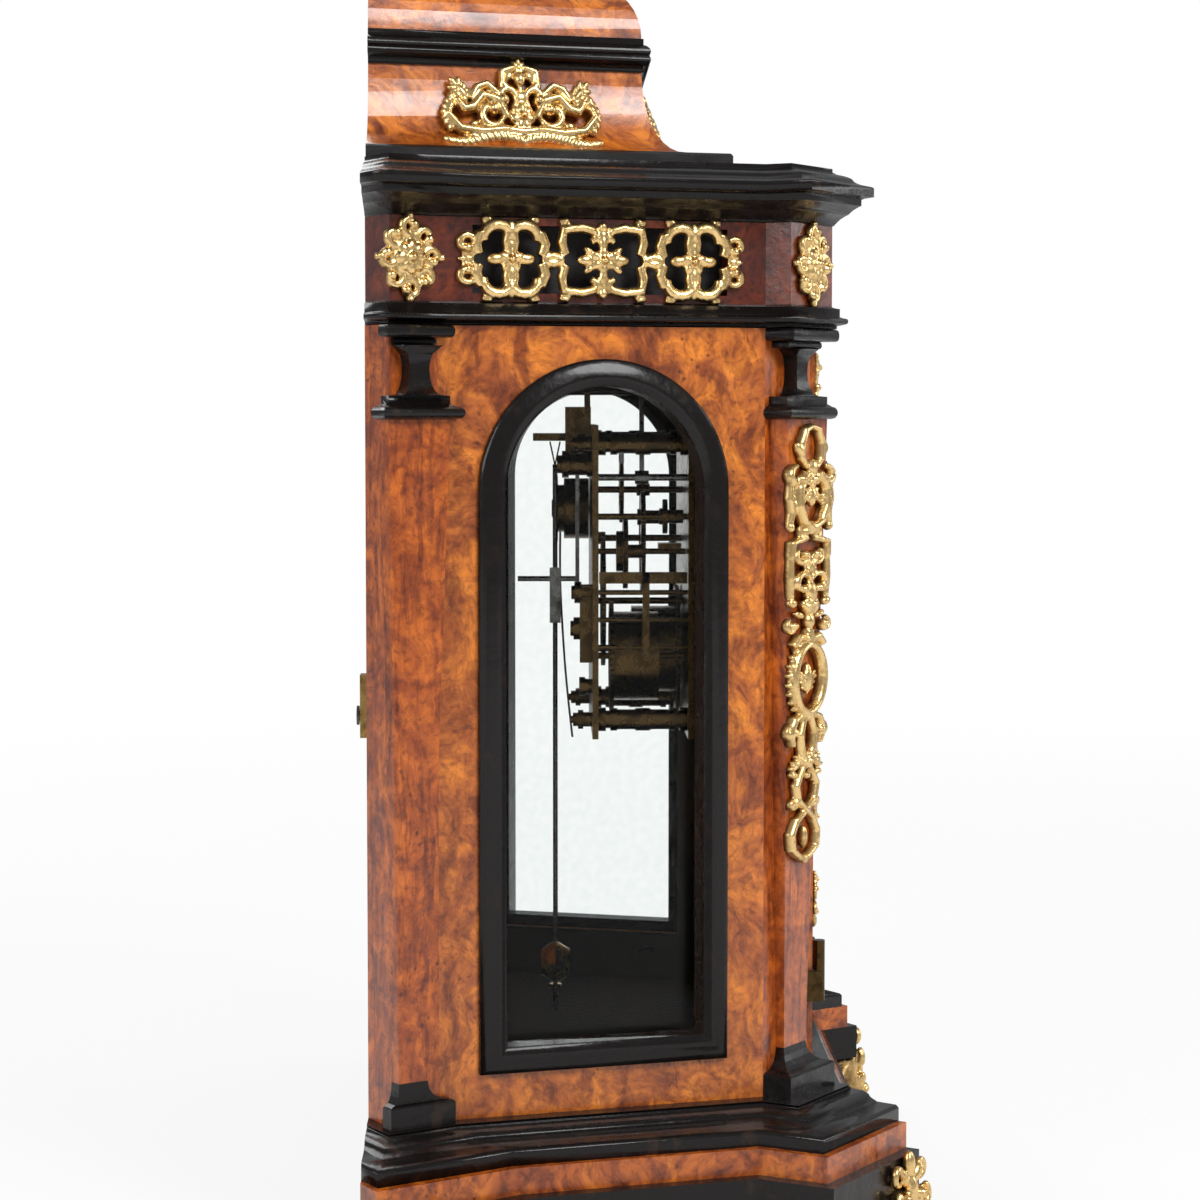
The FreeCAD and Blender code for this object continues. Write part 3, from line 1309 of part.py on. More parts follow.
def barrel(teeth, wheel_y, drum_low, drum_high):
    """A spring barrel with its great wheel and its winding arbor."""
    drum = arbor(d.barrel_radius, drum_low, drum_high)
    rim = wheel(teeth, d.train_module, great_phase)
    rim.translate(V(0, wheel_y, 0))
    core = arbor(d.arbor_radius * 2, drum_low - d.side_clearance, drum_high + d.side_clearance)
    shaft = arbor(d.arbor_radius, inner_front - pivot_depth, inner_back + pivot_depth)
    half = d.winding_square / 2
    square = Part.makeBox(d.winding_square, inner_front - dial_front + d.dial_thickness, d.winding_square,
                          V(-half, dial_front - d.dial_thickness, -half))
    square = square.cut(Part.makeBox(d.winding_square, d.plate_thickness + 2 * d.side_clearance,
                                     d.winding_square,
                                     V(-half, inner_front - d.plate_thickness - d.side_clearance, -half)))
    neck = arbor(d.arbor_radius, inner_front - d.plate_thickness - d.side_clearance, inner_front)
    return join([drum, rim, core, shaft, square, neck])


going_low = d.great_wheel_y + d.wheel_thickness
going = barrel(GREAT_TEETH, d.great_wheel_y, going_low, going_low + d.barrel_length)
node("going_barrel", shaped("going_barrel", moved(going, barrel_point.x, 0, barrel_point.z)))
strike = barrel(STRIKE_TEETH, d.strike_wheel_y, d.strike_wheel_y - d.barrel_length, d.strike_wheel_y)
node("strike_barrel", shaped("strike_barrel", moved(strike, strike_point.x, 0, strike_point.z)))

# Plates with pivot holes, pillars and dial feet

pivot_points = [barrel_point, strike_point, third_point, escape_point, pallet_point, centre_point,
                V(d.hammer_x, 0, d.hammer_z)]


def drilled(name, plate, low_y, points):
    """A plate with its pivot holes."""
    tools = []
    for point in points:
        hole = arbor(d.arbor_radius + d.pivot_gap, low_y - d.plate_thickness, low_y + 2 * d.plate_thickness)
        tools.append(shaped(f"{name}_pivot", moved(hole, point.x, 0, point.z)))
    return cut(name, plate, tools)


front_low_y = d.front_plate_y - d.plate_thickness
front_drilled = drilled("front_plate", front_plate, front_low_y, pivot_points)
stud_reach = "plate_thickness + drum_length + 2 * drum_flange + 4 * side_clearance"
drum_stud = cylinder("drum_stud", "turn_pin_radius", stud_reach, ("drum_x", "back_plate_y", "drum_z"))
drum_collar = cylinder("drum_collar", "2 * turn_pin_radius", "drum_flange",
                       ("drum_x", "back_plate_y + " + stud_reach, "drum_z"))
back_drilled = drilled("back_plate", back_plate, d.back_plate_y, pivot_points)
back_plate_whole = fuse("back_plate_whole", [back_drilled, drum_stud, drum_collar])
pillars = []
pillar_middle = "front_plate_y / 2 + back_plate_y / 2 - pillar_radius / 2"
for centre_x in ("-plate_half_width + pillar_inset", "plate_half_width - pillar_inset"):
    for level in ("plate_low_z + pillar_inset", "plate_high_z - pillar_inset"):
        pillars.append(fuse("pillar", [
            cylinder("shank", "pillar_radius * 0.7", "back_plate_y - front_plate_y",
                     (centre_x, "front_plate_y", level)),
            cylinder("belly", "pillar_radius * 1.2", "pillar_radius", (centre_x, pillar_middle, level)),
            cylinder("low_fin", "pillar_radius", "pillar_radius / 2", (centre_x, "front_plate_y", level)),
            cylinder("high_fin", "pillar_radius", "pillar_radius / 2",
                     (centre_x, "back_plate_y - pillar_radius / 2", level))]))
        pillars.append(cylinder("pillar_head", "pillar_radius * 0.8", "pillar_radius",
                                (centre_x, "back_plate_y + plate_thickness", level)))
dial_back = "recess_y + front_frame_thickness + dial_thickness"
for foot_x in ("-dial_half_width * 0.6", "dial_half_width * 0.6"):
    for level in ("plate_low_z + 2 * pillar_inset", "plate_high_z - 2 * pillar_inset"):
        pillars.append(cylinder("dial_foot", "dial_foot_radius",
                                "front_plate_y - plate_thickness - (" + dial_back + ")",
                                (foot_x, dial_back, level)))
node("movement_pillars", group("movement_pillars", pillars))

# Dial

dial = arch_stack(d.dial_half_width, d.dial_low_z, d.door_arch_z,
                  [(0, -dial_front - d.dial_thickness), (0, -dial_front)])
centre_hole = moved(arbor(d.arbor_radius * 4, dial_front - d.dial_thickness,
                          dial_front + 2 * d.dial_thickness), 0, 0, centre_point.z)
dial = dial.cut(centre_hole)
for hole_x in (barrel_point.x, strike_point.x):
    dial = dial.cut(moved(arbor(d.winding_square, dial_front - d.dial_thickness,
                                dial_front + 2 * d.dial_thickness), hole_x, 0, d.barrel_z))
node("dial_plate", shaped("dial_plate", dial))
chapter = arbor(d.chapter_outer, dial_front - d.chapter_thickness, dial_front)
chapter = chapter.cut(arbor(d.chapter_inner, dial_front - d.chapter_thickness, dial_front))
node("chapter_ring", shaped("chapter_ring", moved(chapter, 0, 0, centre_point.z)))
boss = Part.makeCone(d.boss_radius, d.boss_radius * 0.9, d.chapter_thickness, V(0, dial_front, d.boss_z),
                     V(0, -1, 0))


def spandrel(turn_x, turn_z, size):
    """A gilt corner casting of the dial."""
    rod = d.fret_rod * 0.8
    depth = d.casting_thickness * 0.6
    pieces = [flower(0, 0, size, depth), bar(0, 0, turn_x * size * 1.3, 0, rod, depth),
              bar(0, 0, 0, turn_z * size * 1.3, rod, depth),
              knob(turn_x * size * 1.3, 0, rod, depth), knob(0, turn_z * size * 1.3, rod, depth)]
    return join(pieces)


spandrel_face = Face(V(0, dial_front, 0), 90)
spandrels = [shaped("arch_boss", boss)]
corner_out = d.dial_half_width * 0.8
corner_up = d.dial_low_z + d.front_frame_border * 1.55
for turn_x in (-1, 1):
    low_corner = spandrel(-turn_x, 1, d.hinge_radius * 1.7)
    high_corner = spandrel(turn_x, -1, d.hinge_radius * 2.2)
    spandrels.append(shaped("low_spandrel",
                            to_face(spandrel_face, -turn_x * corner_out, corner_up, low_corner)))
    spandrels.append(shaped("high_spandrel",
                            to_face(spandrel_face, -turn_x * d.spandrel_x, d.spandrel_z, high_corner)))
node("dial_castings", group("dial_castings", spandrels))

# Hands and motion work


def hand(length, width, eye, y, angle):
    """A pierced hand that points up before it is turned by the angle."""
    tail = bar(0, 0, 0, length * 0.55, width * 0.5, d.hand_thickness)
    ring = ring_bar(0, length * 0.62, width, width * 0.4, d.hand_thickness)
    tip = [bar(0, length * 0.62 + width * 0.9, 0, length, width * 0.35, d.hand_thickness)]
    pieces = [tail, ring, knob(0, 0, eye, d.hand_thickness)] + tip
    shape = join(pieces)
    shape.rotate(V(0, 0, 0), V(0, 1, 0), angle)
    return moved(shape, 0, y, centre_point.z)


MINUTE_HAND_ANGLE = 60
HOUR_HAND_ANGLE = -55
pipe_radius = d.arbor_radius * 2.6
cannon_radius = d.arbor_radius * 1.6
hour_hand_y = d.hand_y
minute_hand_y = d.hand_y - 3 * d.hand_thickness
minute_tip_y = minute_hand_y - 2 * d.hand_thickness
hour_pipe_bore = cannon_radius + d.pivot_gap
cannon = moved(pinion(CANNON_TEETH, d.motion_module, d.wheel_thickness * 2, cannon_phase), 0,
               d.motion_wheel_y - d.wheel_thickness / 2, 0)
centre_parts = [arbor(d.arbor_radius, front_low_y - d.side_clearance, inner_back + pivot_depth),
                arbor(cannon_radius, minute_tip_y, front_low_y - d.side_clearance), cannon,
                moved(pinion(PINION_LEAVES, d.train_module, d.pinion_length, centre_pinion_phase), 0,
                      d.great_wheel_y - d.side_clearance, 0),
                moved(wheel(CENTRE_TEETH, d.train_module, centre_wheel_phase), 0, d.centre_wheel_y, 0)]
node("centre_arbor", shaped("centre_arbor", moved(join(centre_parts), 0, 0, centre_point.z)))
minute_blank = hand(d.minute_hand_length, 5, d.arbor_radius * 3, minute_hand_y, MINUTE_HAND_ANGLE)
centre_bar = moved(arbor(cannon_radius, minute_tip_y - d.side_clearance, inner_front), 0, 0, centre_point.z)
node("minute_hand", shaped("minute_hand", minute_blank.cut(centre_bar)))
hour_wheel = moved(wheel(HOUR_TEETH, d.motion_module, hour_phase), 0, d.hour_wheel_y, 0)
hour_pipe = arbor(pipe_radius, hour_hand_y - 1.5 * d.hand_thickness, d.hour_wheel_y + d.wheel_thickness)
hour_parts = join([hour_wheel, hour_pipe]).cut(arbor(hour_pipe_bore, minute_tip_y, inner_front))
node("hour_wheel", shaped("hour_wheel", moved(hour_parts, 0, 0, centre_point.z)))
hour_blank = hand(d.hour_hand_length, 7, pipe_radius * 1.6, hour_hand_y, HOUR_HAND_ANGLE)
hour_bar = moved(arbor(pipe_radius, minute_tip_y, inner_front), 0, 0, centre_point.z)
node("hour_hand", shaped("hour_hand", hour_blank.cut(hour_bar)))
minute_parts = [moved(wheel(MINUTE_TEETH, d.motion_module, minute_wheel_phase), 0, d.motion_wheel_y, 0),
                moved(pinion(MINUTE_LEAVES, d.motion_module, d.motion_wheel_y - d.hour_wheel_y,
                             minute_pinion_phase), 0, d.hour_wheel_y, 0)]
minute_bore = arbor(d.arbor_radius + d.pivot_gap, d.hour_wheel_y, inner_front)
node("minute_wheel",
     shaped("minute_wheel", moved(join(minute_parts).cut(minute_bore), minute_point.x, 0, minute_point.z)))
minute_post = join([arbor(d.arbor_radius, d.hour_wheel_y - d.side_clearance, front_low_y),
                    arbor(d.arbor_radius * 2, d.hour_wheel_y - d.side_clearance - d.hand_thickness,
                          d.hour_wheel_y - d.side_clearance)])
minute_stud = shaped("minute_stud", moved(minute_post, minute_point.x, 0, minute_point.z))
node("movement_plates",
     group("movement_plates", [fuse("front_plate_whole", [front_drilled, minute_stud]), back_plate_whole]))

# Train: third wheel, escape wheel, pallets with the crutch

third_parts = [arbor(d.arbor_radius, inner_front - pivot_depth, inner_back + pivot_depth),
               moved(pinion(PINION_LEAVES, d.train_module, inner_back - d.centre_wheel_y,
                            third_pinion_phase), 0, d.centre_wheel_y - d.side_clearance, 0),
               moved(wheel(THIRD_TEETH, d.train_module, third_wheel_phase), 0, d.third_wheel_y, 0)]
node("third_wheel", shaped("third_wheel", moved(join(third_parts), third_point.x, 0, third_point.z)))


def escape_rim():
    """A wheel with pointed, forward-leaning teeth."""
    points = []
    for tooth in range(ESCAPE_TEETH):
        base = 2 * math.pi * tooth / ESCAPE_TEETH
        step = 2 * math.pi / ESCAPE_TEETH
        for share, radius in ((0, d.escape_radius - d.escape_tooth),
                              (0.55, d.escape_radius - d.escape_tooth),
                              (0.9, d.escape_radius), (0.97, d.escape_radius)):
            points.append(V(radius * math.sin(base + share * step), 0,
                            radius * math.cos(base + share * step)))
    disc = Part.Face(Part.makePolygon(points + points[:1])).extrude(V(0, d.wheel_thickness, 0))
    hub = d.arbor_radius * 2.4
    gap = arbor(d.escape_radius - 2 * d.escape_tooth, 0,
                d.wheel_thickness).cut(arbor(hub, 0, d.wheel_thickness))
    for spoke in range(4):
        arm = Part.makeBox(hub * 0.7, d.wheel_thickness, d.escape_radius, V(-hub * 0.35, 0, 0))
        arm.rotate(V(0, 0, 0), V(0, 1, 0), 90 * spoke)
        gap = gap.cut(arm)
    return disc.cut(gap)


escape_parts = [arbor(d.arbor_radius, inner_front - pivot_depth, inner_back + pivot_depth),
                moved(pinion(PINION_LEAVES, d.train_module, d.pinion_length, escape_pinion_phase), 0,
                      d.third_wheel_y - d.pinion_length / 3, 0),
                moved(escape_rim(), 0, d.escape_wheel_y, 0)]
node("escape_wheel", shaped("escape_wheel", moved(join(escape_parts), 0, 0, escape_point.z)))

pallet_radius = d.escape_radius + d.escape_tooth * 0.7
PALLET_SPAN = 42
pallet_drop = d.escape_drop
pieces = [arbor(d.arbor_radius * 2, d.escape_wheel_y, d.escape_wheel_y + d.wheel_thickness)]
for side in (-1, 1):
    reach_x = side * pallet_radius * math.sin(math.radians(PALLET_SPAN))
    reach_z = pallet_radius * math.cos(math.radians(PALLET_SPAN)) - pallet_drop
    elbow_x = reach_x * 1.15
    elbow_z = reach_z / 3
    arm = bar(0, 0, elbow_x, elbow_z, d.escape_tooth, d.wheel_thickness)
    nib = bar(elbow_x, elbow_z + d.escape_tooth / 3, reach_x, reach_z, d.escape_tooth * 0.8,
              d.wheel_thickness)
    pieces += [moved(arm, 0, d.escape_wheel_y + d.wheel_thickness, 0),
               moved(nib, 0, d.escape_wheel_y + d.wheel_thickness, 0),
               moved(knob(elbow_x, elbow_z, d.escape_tooth * 0.7, d.wheel_thickness), 0,
                     d.escape_wheel_y + d.wheel_thickness, 0)]
crutch_end = d.crutch_y + d.crutch_thickness
crutch_drop = d.suspension_z - d.crutch_pin_z
pieces += [arbor(d.arbor_radius, inner_front - pivot_depth, crutch_end),
           moved(bar(0, d.arbor_radius * 2, 0, -crutch_drop - d.arbor_radius, d.arbor_radius * 2,
                     d.crutch_thickness), 0, crutch_end, 0),
           moved(arbor(d.crutch_pin_radius, 0, d.crutch_pin_length), 0, d.crutch_y, -crutch_drop)]
node("pallets", shaped("pallets", moved(join(pieces), 0, 0, d.suspension_z)))

# Pendulum

rod_low = d.suspension_z - d.pendulum_length - d.bob_radius
loop_low = d.suspension_z - d.bob_radius
rod_top = Part.makeCylinder(d.rod_radius, loop_low - rod_low, V(0, d.pendulum_y, rod_low))
slot_block = Part.makeBox(d.rod_block_width, d.rod_block_width, d.rod_block_high_z - d.rod_block_low_z,
                          V(-d.rod_block_width / 2, d.pendulum_y - d.rod_block_width / 2, d.rod_block_low_z))
slot = Part.makeCylinder(d.crutch_pin_radius + d.hinge_gap, d.rod_block_width * 2,
                         V(0, d.pendulum_y - d.rod_block_width, d.crutch_pin_z), V(0, 1, 0))
silk = []
SILK_SPREAD = 12
silk_low = loop_low - d.rod_radius / 2
silk_length = (d.suspension_z + d.hinge_gap - silk_low) / math.cos(math.radians(SILK_SPREAD))
for side in (-1, 1):
    strand = Part.makeCylinder(d.rod_radius / 3, silk_length, V(0, 0, 0), V(0, 0, 1))
    strand.rotate(V(0, 0, 0), V(1, 0, 0), -side * SILK_SPREAD)
    silk.append(moved(strand, 0, d.pendulum_y, silk_low))
rod = join([rod_top, slot_block] + silk).cut(slot)
node("pendulum_rod", shaped("pendulum_rod", rod))
bob_z = d.suspension_z - d.bob_drop
bob = Part.makeCone(d.bob_radius * 0.6, d.bob_radius, d.bob_thickness / 2,
                    V(0, d.pendulum_y - d.bob_thickness / 2, bob_z), V(0, 1, 0))
bob = bob.fuse(Part.makeCone(d.bob_radius, d.bob_radius * 0.6, d.bob_thickness / 2,
                             V(0, d.pendulum_y, bob_z), V(0, 1, 0)))
bob_bore = Part.makeCylinder(d.rod_radius + d.pivot_gap, 4 * d.bob_radius,
                             V(0, d.pendulum_y, bob_z - 2 * d.bob_radius))
bob_piece = shaped("bob", bob.cut(bob_bore))
nut = Part.makeCylinder(d.rod_radius * 2.5, d.rod_radius * 2,
                        V(0, d.pendulum_y, bob_z - d.bob_radius - d.rod_radius * 2))
node("pendulum_bob", group("pendulum_bob", [bob_piece, shaped("rating_nut", nut.cut(bob_bore))]))

# Back cock, strike bell, stand and hammer, pull drum and its line

cock_outer = d.back_plate_y + d.plate_thickness
cock_foot = Part.makeBox(d.cock_side_x / 2, d.cock_y + d.cock_thickness - cock_outer,
                         d.cock_top_z - d.suspension_z + d.cock_side_x,
                         V(-d.cock_side_x, cock_outer, d.suspension_z - d.cock_side_x))
cock_cross = Part.makeBox(d.cock_side_x * 3 / 2, d.cock_thickness,
                          d.cock_top_z - d.suspension_z - d.hinge_gap,
                          V(-d.cock_side_x, d.cock_y, d.suspension_z + d.hinge_gap))
cock_arm = Part.makeBox(d.rod_block_width, d.cock_reach_y - d.cock_y, d.cock_arm_thickness,
                        V(-d.rod_block_width / 2, d.cock_y, d.suspension_z + 2 * d.hinge_gap))
back_cock = shaped("back_cock", join([cock_foot, cock_cross, cock_arm]))

bell_centre = V(0, d.strike_bell_y, d.strike_bell_z)
BELL_OUT_SHARES = [(0, 1), (0.35, 0.97), (0.62, 0.8), (0.74, 0.5), (0.85, 0.2), (1, 0)]
bell_in = [(max(0, u - d.bell_wall / d.strike_bell_radius),
            v - d.bell_wall / d.strike_bell_height if u < 1 else v) for u, v in reversed(BELL_OUT_SHARES)]
bell_ring = [V(bell_centre.x + u * d.strike_bell_radius, bell_centre.y,
               bell_centre.z + v * d.strike_bell_height)
             for u, v in BELL_OUT_SHARES + bell_in]
bell = Part.Face(Part.makePolygon(bell_ring + bell_ring[:1])).revolve(bell_centre, V(0, 0, 1), 360)
stand_radius = d.pillar_radius / 2
bell_top = d.strike_bell_z + d.strike_bell_height
bell = bell.cut(Part.makeCylinder(stand_radius + d.pivot_gap, d.strike_bell_height * 2,
                                  V(bell_centre.x, bell_centre.y, d.strike_bell_z)))
node("strike_bell", shaped("strike_bell", bell))
stand_foot_z = d.plate_high_z - d.boss_radius
stand_width = d.pillar_radius * 2
stand_low_z = d.plate_high_z + d.boss_radius
stand = join([
    Part.makeBox(stand_width, d.plate_thickness, stand_low_z - stand_foot_z + d.plate_thickness,
                 V(stand_width, cock_outer, stand_foot_z)),
    Part.makeBox(stand_width * 2.5, d.plate_thickness * 2, d.plate_thickness,
                 V(-stand_width / 2, cock_outer - d.plate_thickness, stand_low_z)),
    Part.makeBox(stand_width, cock_outer - d.strike_bell_y + stand_width / 2, d.plate_thickness,
                 V(-stand_width / 2, d.strike_bell_y - stand_width / 2, stand_low_z)),
    Part.makeCylinder(stand_radius, bell_top - stand_low_z + d.pillar_radius,
                      V(bell_centre.x, bell_centre.y, stand_low_z)),
    Part.makeCylinder(stand_radius * 1.8, bell_top - d.bell_wall - stand_low_z - 2 * d.pillar_radius,
                      V(bell_centre.x, bell_centre.y, stand_low_z)),
])
nut_top = Part.makeCylinder(stand_radius * 2, d.pillar_radius / 2, V(bell_centre.x, bell_centre.y, bell_top))
hub_low = Part.makeCylinder(stand_radius * 2, d.pillar_radius,
                            V(bell_centre.x, bell_centre.y, bell_top - d.bell_wall - d.pillar_radius))
bell_stand = shaped("bell_stand", join([stand, nut_top, hub_low]).cut(bell))
node("back_brackets", group("back_brackets", [back_cock, bell_stand]))

head_x = -d.strike_bell_radius - d.hammer_head_radius - d.hammer_rest_gap
hammer_run = V(head_x - d.hammer_x, 0, d.strike_bell_z + d.hammer_head_radius - d.hammer_z)
hammer_rod = bar(0, 0, hammer_run.x, hammer_run.z, d.arbor_radius * 1.4, d.arbor_radius * 1.4)
hammer_head = Part.makeCylinder(d.hammer_head_radius, d.hammer_head_radius * 3, V(0, 0, 0), V(0, 1, 0))
hammer_y = d.strike_bell_y
hammer = join([arbor(d.arbor_radius, inner_front - pivot_depth, inner_back + pivot_depth),
               arbor(d.arbor_radius * 2, hammer_y - d.arbor_radius * 2, hammer_y + d.arbor_radius * 2),
               moved(hammer_rod, 0, hammer_y + d.arbor_radius * 0.7, 0),
               moved(hammer_head, hammer_run.x, hammer_y - d.hammer_head_radius * 1.5, hammer_run.z)])
node("hammer", shaped("hammer", moved(hammer, d.hammer_x, 0, d.hammer_z)))

drum_low_y = d.back_plate_y + d.plate_thickness + d.side_clearance
groove_radius = d.drum_radius * 0.78
groove_y = drum_low_y + d.drum_length
drum_end_y = groove_y + 2 * d.drum_flange
pull_drum = join([arbor(d.drum_radius, drum_low_y, groove_y), arbor(groove_radius, groove_y, drum_end_y),
                  arbor(d.drum_radius * 1.1, drum_end_y, drum_end_y + d.drum_flange)])
pull_drum = pull_drum.cut(arbor(d.turn_pin_radius + d.pivot_gap, drum_low_y - d.side_clearance,
                                drum_end_y + 2 * d.drum_flange))
node("pull_drum", shaped("pull_drum", moved(pull_drum, d.drum_x, 0, d.drum_z)))

line_x = d.drum_x + groove_radius + d.line_radius + d.pivot_gap
line_y = groove_y + d.drum_flange
LINE_ROUTE = [(0, 0, 0), (0.3, 0.7, -27), (-0.6, -0.6, -55), (0.5, -2.6, -84), (-0.4, -5.4, -108)]


def line_tube(start, offsets, radius):
    """A cord of straight runs joined by the largest arcs that the runs allow."""
    points = [start + V(*offset) for offset in offsets]
    edges = []
    here = points[0]
    for before, corner, after in zip(points, points[1:], points[2:]):
        inward = corner - before
        outward = after - corner
        half_turn = inward.getAngle(outward) / 2
        setback = 0.45 * min(inward.Length, outward.Length)
        bend_radius = setback / math.tan(half_turn)
        arc_start = corner - inward.normalize() * setback
        arc_end = corner + outward.normalize() * setback
        middle_line = ((arc_start + arc_end) * 0.5 - corner).normalize()
        sag = bend_radius / math.cos(half_turn) - bend_radius
        edges.append(Part.LineSegment(here, arc_start).toShape())
        edges.append(Part.Arc(arc_start, corner + middle_line * sag, arc_end).toShape())
        here = arc_end
        print("line bend radius", round(bend_radius, 1))
    edges.append(Part.LineSegment(here, points[-1]).toShape())
    path = Part.Wire(edges)
    ring = Part.Wire(Part.makeCircle(radius, points[0], points[1] - points[0]))
    tube = path.makePipeShell([ring], True, False)
    print("line volume share", round(tube.Volume / (math.pi * radius ** 2 * path.Length), 4))
    return tube


node("pull_line", shaped("pull_line", line_tube(V(line_x, line_y, d.drum_z), LINE_ROUTE, d.line_radius)))

# Stand the clock over the middle of its own depth, check every object, then write one file per sub-part

doc.recompute()
depth_ends = [end for obj in NODES.values() for end in (obj.Shape.BoundBox.YMin, obj.Shape.BoundBox.YMax)]
middle_y = (min(depth_ends) + max(depth_ends)) / 2
for obj in NODES.values():
    obj.Placement = FreeCAD.Placement(V(0, -middle_y, 0), FreeCAD.Rotation()).multiply(obj.Placement)
doc.recompute()
print("moved along y by", round(-middle_y, 4))
faults = [obj.Name for obj in doc.Objects if "Invalid" in obj.State or "Error" in obj.State]
for name, obj in NODES.items():
    if obj.Shape.isNull() or not obj.Shape.isValid() or obj.Shape.Volume <= 0:
        faults.append(name)
if faults:
    raise SystemExit("faulty: " + ", ".join(faults))
os.makedirs("parts", exist_ok=True)
for name, obj in NODES.items():
    obj.Shape.exportStep(f"parts/{name}.step")
print(len(NODES), "sub-parts written")
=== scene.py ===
import math

import bpy
import bmesh
from mathutils import Matrix, Vector


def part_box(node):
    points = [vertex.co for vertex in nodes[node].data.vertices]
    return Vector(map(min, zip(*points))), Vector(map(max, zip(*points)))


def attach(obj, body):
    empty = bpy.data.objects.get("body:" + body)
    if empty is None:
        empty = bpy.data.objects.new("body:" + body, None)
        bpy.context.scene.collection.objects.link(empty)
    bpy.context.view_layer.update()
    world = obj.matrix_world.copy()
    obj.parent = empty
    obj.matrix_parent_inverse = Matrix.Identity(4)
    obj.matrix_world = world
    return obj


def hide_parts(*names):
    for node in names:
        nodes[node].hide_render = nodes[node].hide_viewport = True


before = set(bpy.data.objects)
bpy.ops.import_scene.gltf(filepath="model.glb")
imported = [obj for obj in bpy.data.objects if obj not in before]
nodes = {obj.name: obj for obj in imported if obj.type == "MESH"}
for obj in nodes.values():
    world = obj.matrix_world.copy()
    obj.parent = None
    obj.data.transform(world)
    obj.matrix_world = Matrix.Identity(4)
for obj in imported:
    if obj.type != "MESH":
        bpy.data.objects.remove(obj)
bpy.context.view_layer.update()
print("frame nodes", len(nodes))

# %% [markdown]
# The case has a splayed plan: its side walls lean in towards the front and each corner has a slanted
# face. A few plan values, the same as the maker's, are enough to find every face again, because
# each ornament below is first drawn flat and then carried onto the face that it is pinned to.
# %% Plan of the case
MM = 0.001
DEPTH_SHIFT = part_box("front_door")[1][1] - (-51.5 * MM)
WALL_ANGLE = 17
REAR_ANGLE = 33
FRONT_ANGLE = 57


def outward(angle):
    """The direction that a plan face looks in: 0 is +X, 90 is the dial's side."""
    turn = math.radians(angle)
    return Vector((math.cos(turn), -math.sin(turn), 0))


def forward(angle):
    """The direction along a plan face, from the back of the clock to its front."""
    turn = math.radians(angle)
    return Vector((-math.sin(turn), -math.cos(turn), 0))


window_mid = Vector((151.5 * MM, 23.6 * MM + DEPTH_SHIFT, 0))
rear_corner = window_mid - forward(WALL_ANGLE) * 69.5 * MM
front_corner = window_mid + forward(WALL_ANGLE) * 69.5 * MM
rear_start = rear_corner - forward(REAR_ANGLE) * 22.2 * MM
facet_end = front_corner + forward(-30) * 13 * MM
print("depth shift in mm", round(DEPTH_SHIFT / MM, 2))


def on_face(point, angle, height):
    """Carries a drawing (X right, Y up, Z out) onto a face at a height."""
    out = outward(angle)
    up = Vector((0, 0, 1))
    right = up.cross(out)
    matrix = Matrix((right, up, out)).transposed().to_4x4()
    matrix.translation = Vector((point.x, point.y, height))
    return matrix


# %% [markdown]
# The same few jobs come back in every chapter: putting data into the scene, turning a bmesh into a
# mesh, a point on a circle, and adding a shader node with its inputs. Each gets a function here.
# %% Helpers for objects, meshes and nodes


def placed(name, data):
    """A new object that holds the data, linked into the scene."""
    thing = bpy.data.objects.new(name, data)
    bpy.context.scene.collection.objects.link(thing)
    return thing


def mesh_from(build, name):
    """A new mesh from a bmesh, which is freed."""
    mesh = bpy.data.meshes.new(name)
    build.to_mesh(mesh)
    build.free()
    return mesh


def evaluated(thing, name):
    """The mesh of an object with its modifiers applied; the object is removed."""
    graph = bpy.context.evaluated_depsgraph_get()
    mesh = bpy.data.meshes.new_from_object(thing.evaluated_get(graph))
    bpy.data.objects.remove(thing)
    mesh.name = name
    return mesh


def feed(tree, node, inputs):
    """Gives each named or numbered input a number, a colour, or another node's output."""
    for key, value in inputs.items():
        slot = node.inputs[key]
        if isinstance(value, bpy.types.NodeSocket):
            tree.links.new(value, slot)
        elif slot.type == "RGBA":
            slot.default_value = (*value, 1)
        else:
            slot.default_value = value


def added(tree, kind, inputs, **settings):
    """A new node with its settings and inputs."""
    node = tree.nodes.new(kind)
    for key, value in settings.items():
        setattr(node, key, value)
    feed(tree, node, inputs)
    return node


def maths(tree, operation, *values):
    """A Math node's result; the values are numbers or sockets."""
    return added(tree, "ShaderNodeMath", dict(enumerate(values)), operation=operation).outputs[0]


def vector_maths(tree, operation, *values):
    """A Vector Math node's vector."""
    return added(tree, "ShaderNodeVectorMath", dict(enumerate(values)), operation=operation).outputs[0]


def polar(reach, degrees):
    """The point at a distance and an angle in degrees."""
    turn = math.radians(degrees)
    return reach * math.cos(turn), reach * math.sin(turn)


def spaced(values):
    """Input names with spaces, from keyword arguments."""
    return {key.replace("_", " "): value for key, value in values.items()}


# %% [markdown]
# The photograph looks straight at the clock's left side, from about a metre away with a long lens and
# a little from above. The camera is placed from the photograph's horizon and vanishing point.
# %% Camera
PHOTO_SIDE = 1200
FOCAL_PIXELS = 3000
SENSOR_WIDTH = 36
CAMERA_YAW = 1.03
CAMERA_PITCH = 3.6
camera_data = bpy.data.cameras.new("camera")
camera_data.sensor_width = SENSOR_WIDTH
camera_data.lens = SENSOR_WIDTH * FOCAL_PIXELS / PHOTO_SIDE
camera = placed("camera", camera_data)
camera.location = (-1.3635, 0.047 + DEPTH_SHIFT, 0.347)
yaw, pitch = math.radians(CAMERA_YAW), math.radians(CAMERA_PITCH)
sight = Vector((math.cos(pitch) * math.cos(yaw), -math.cos(pitch) * math.sin(yaw), -math.sin(pitch)))
camera.rotation_euler = sight.to_track_quat("-Z", "Y").to_euler()
bpy.context.scene.camera = camera
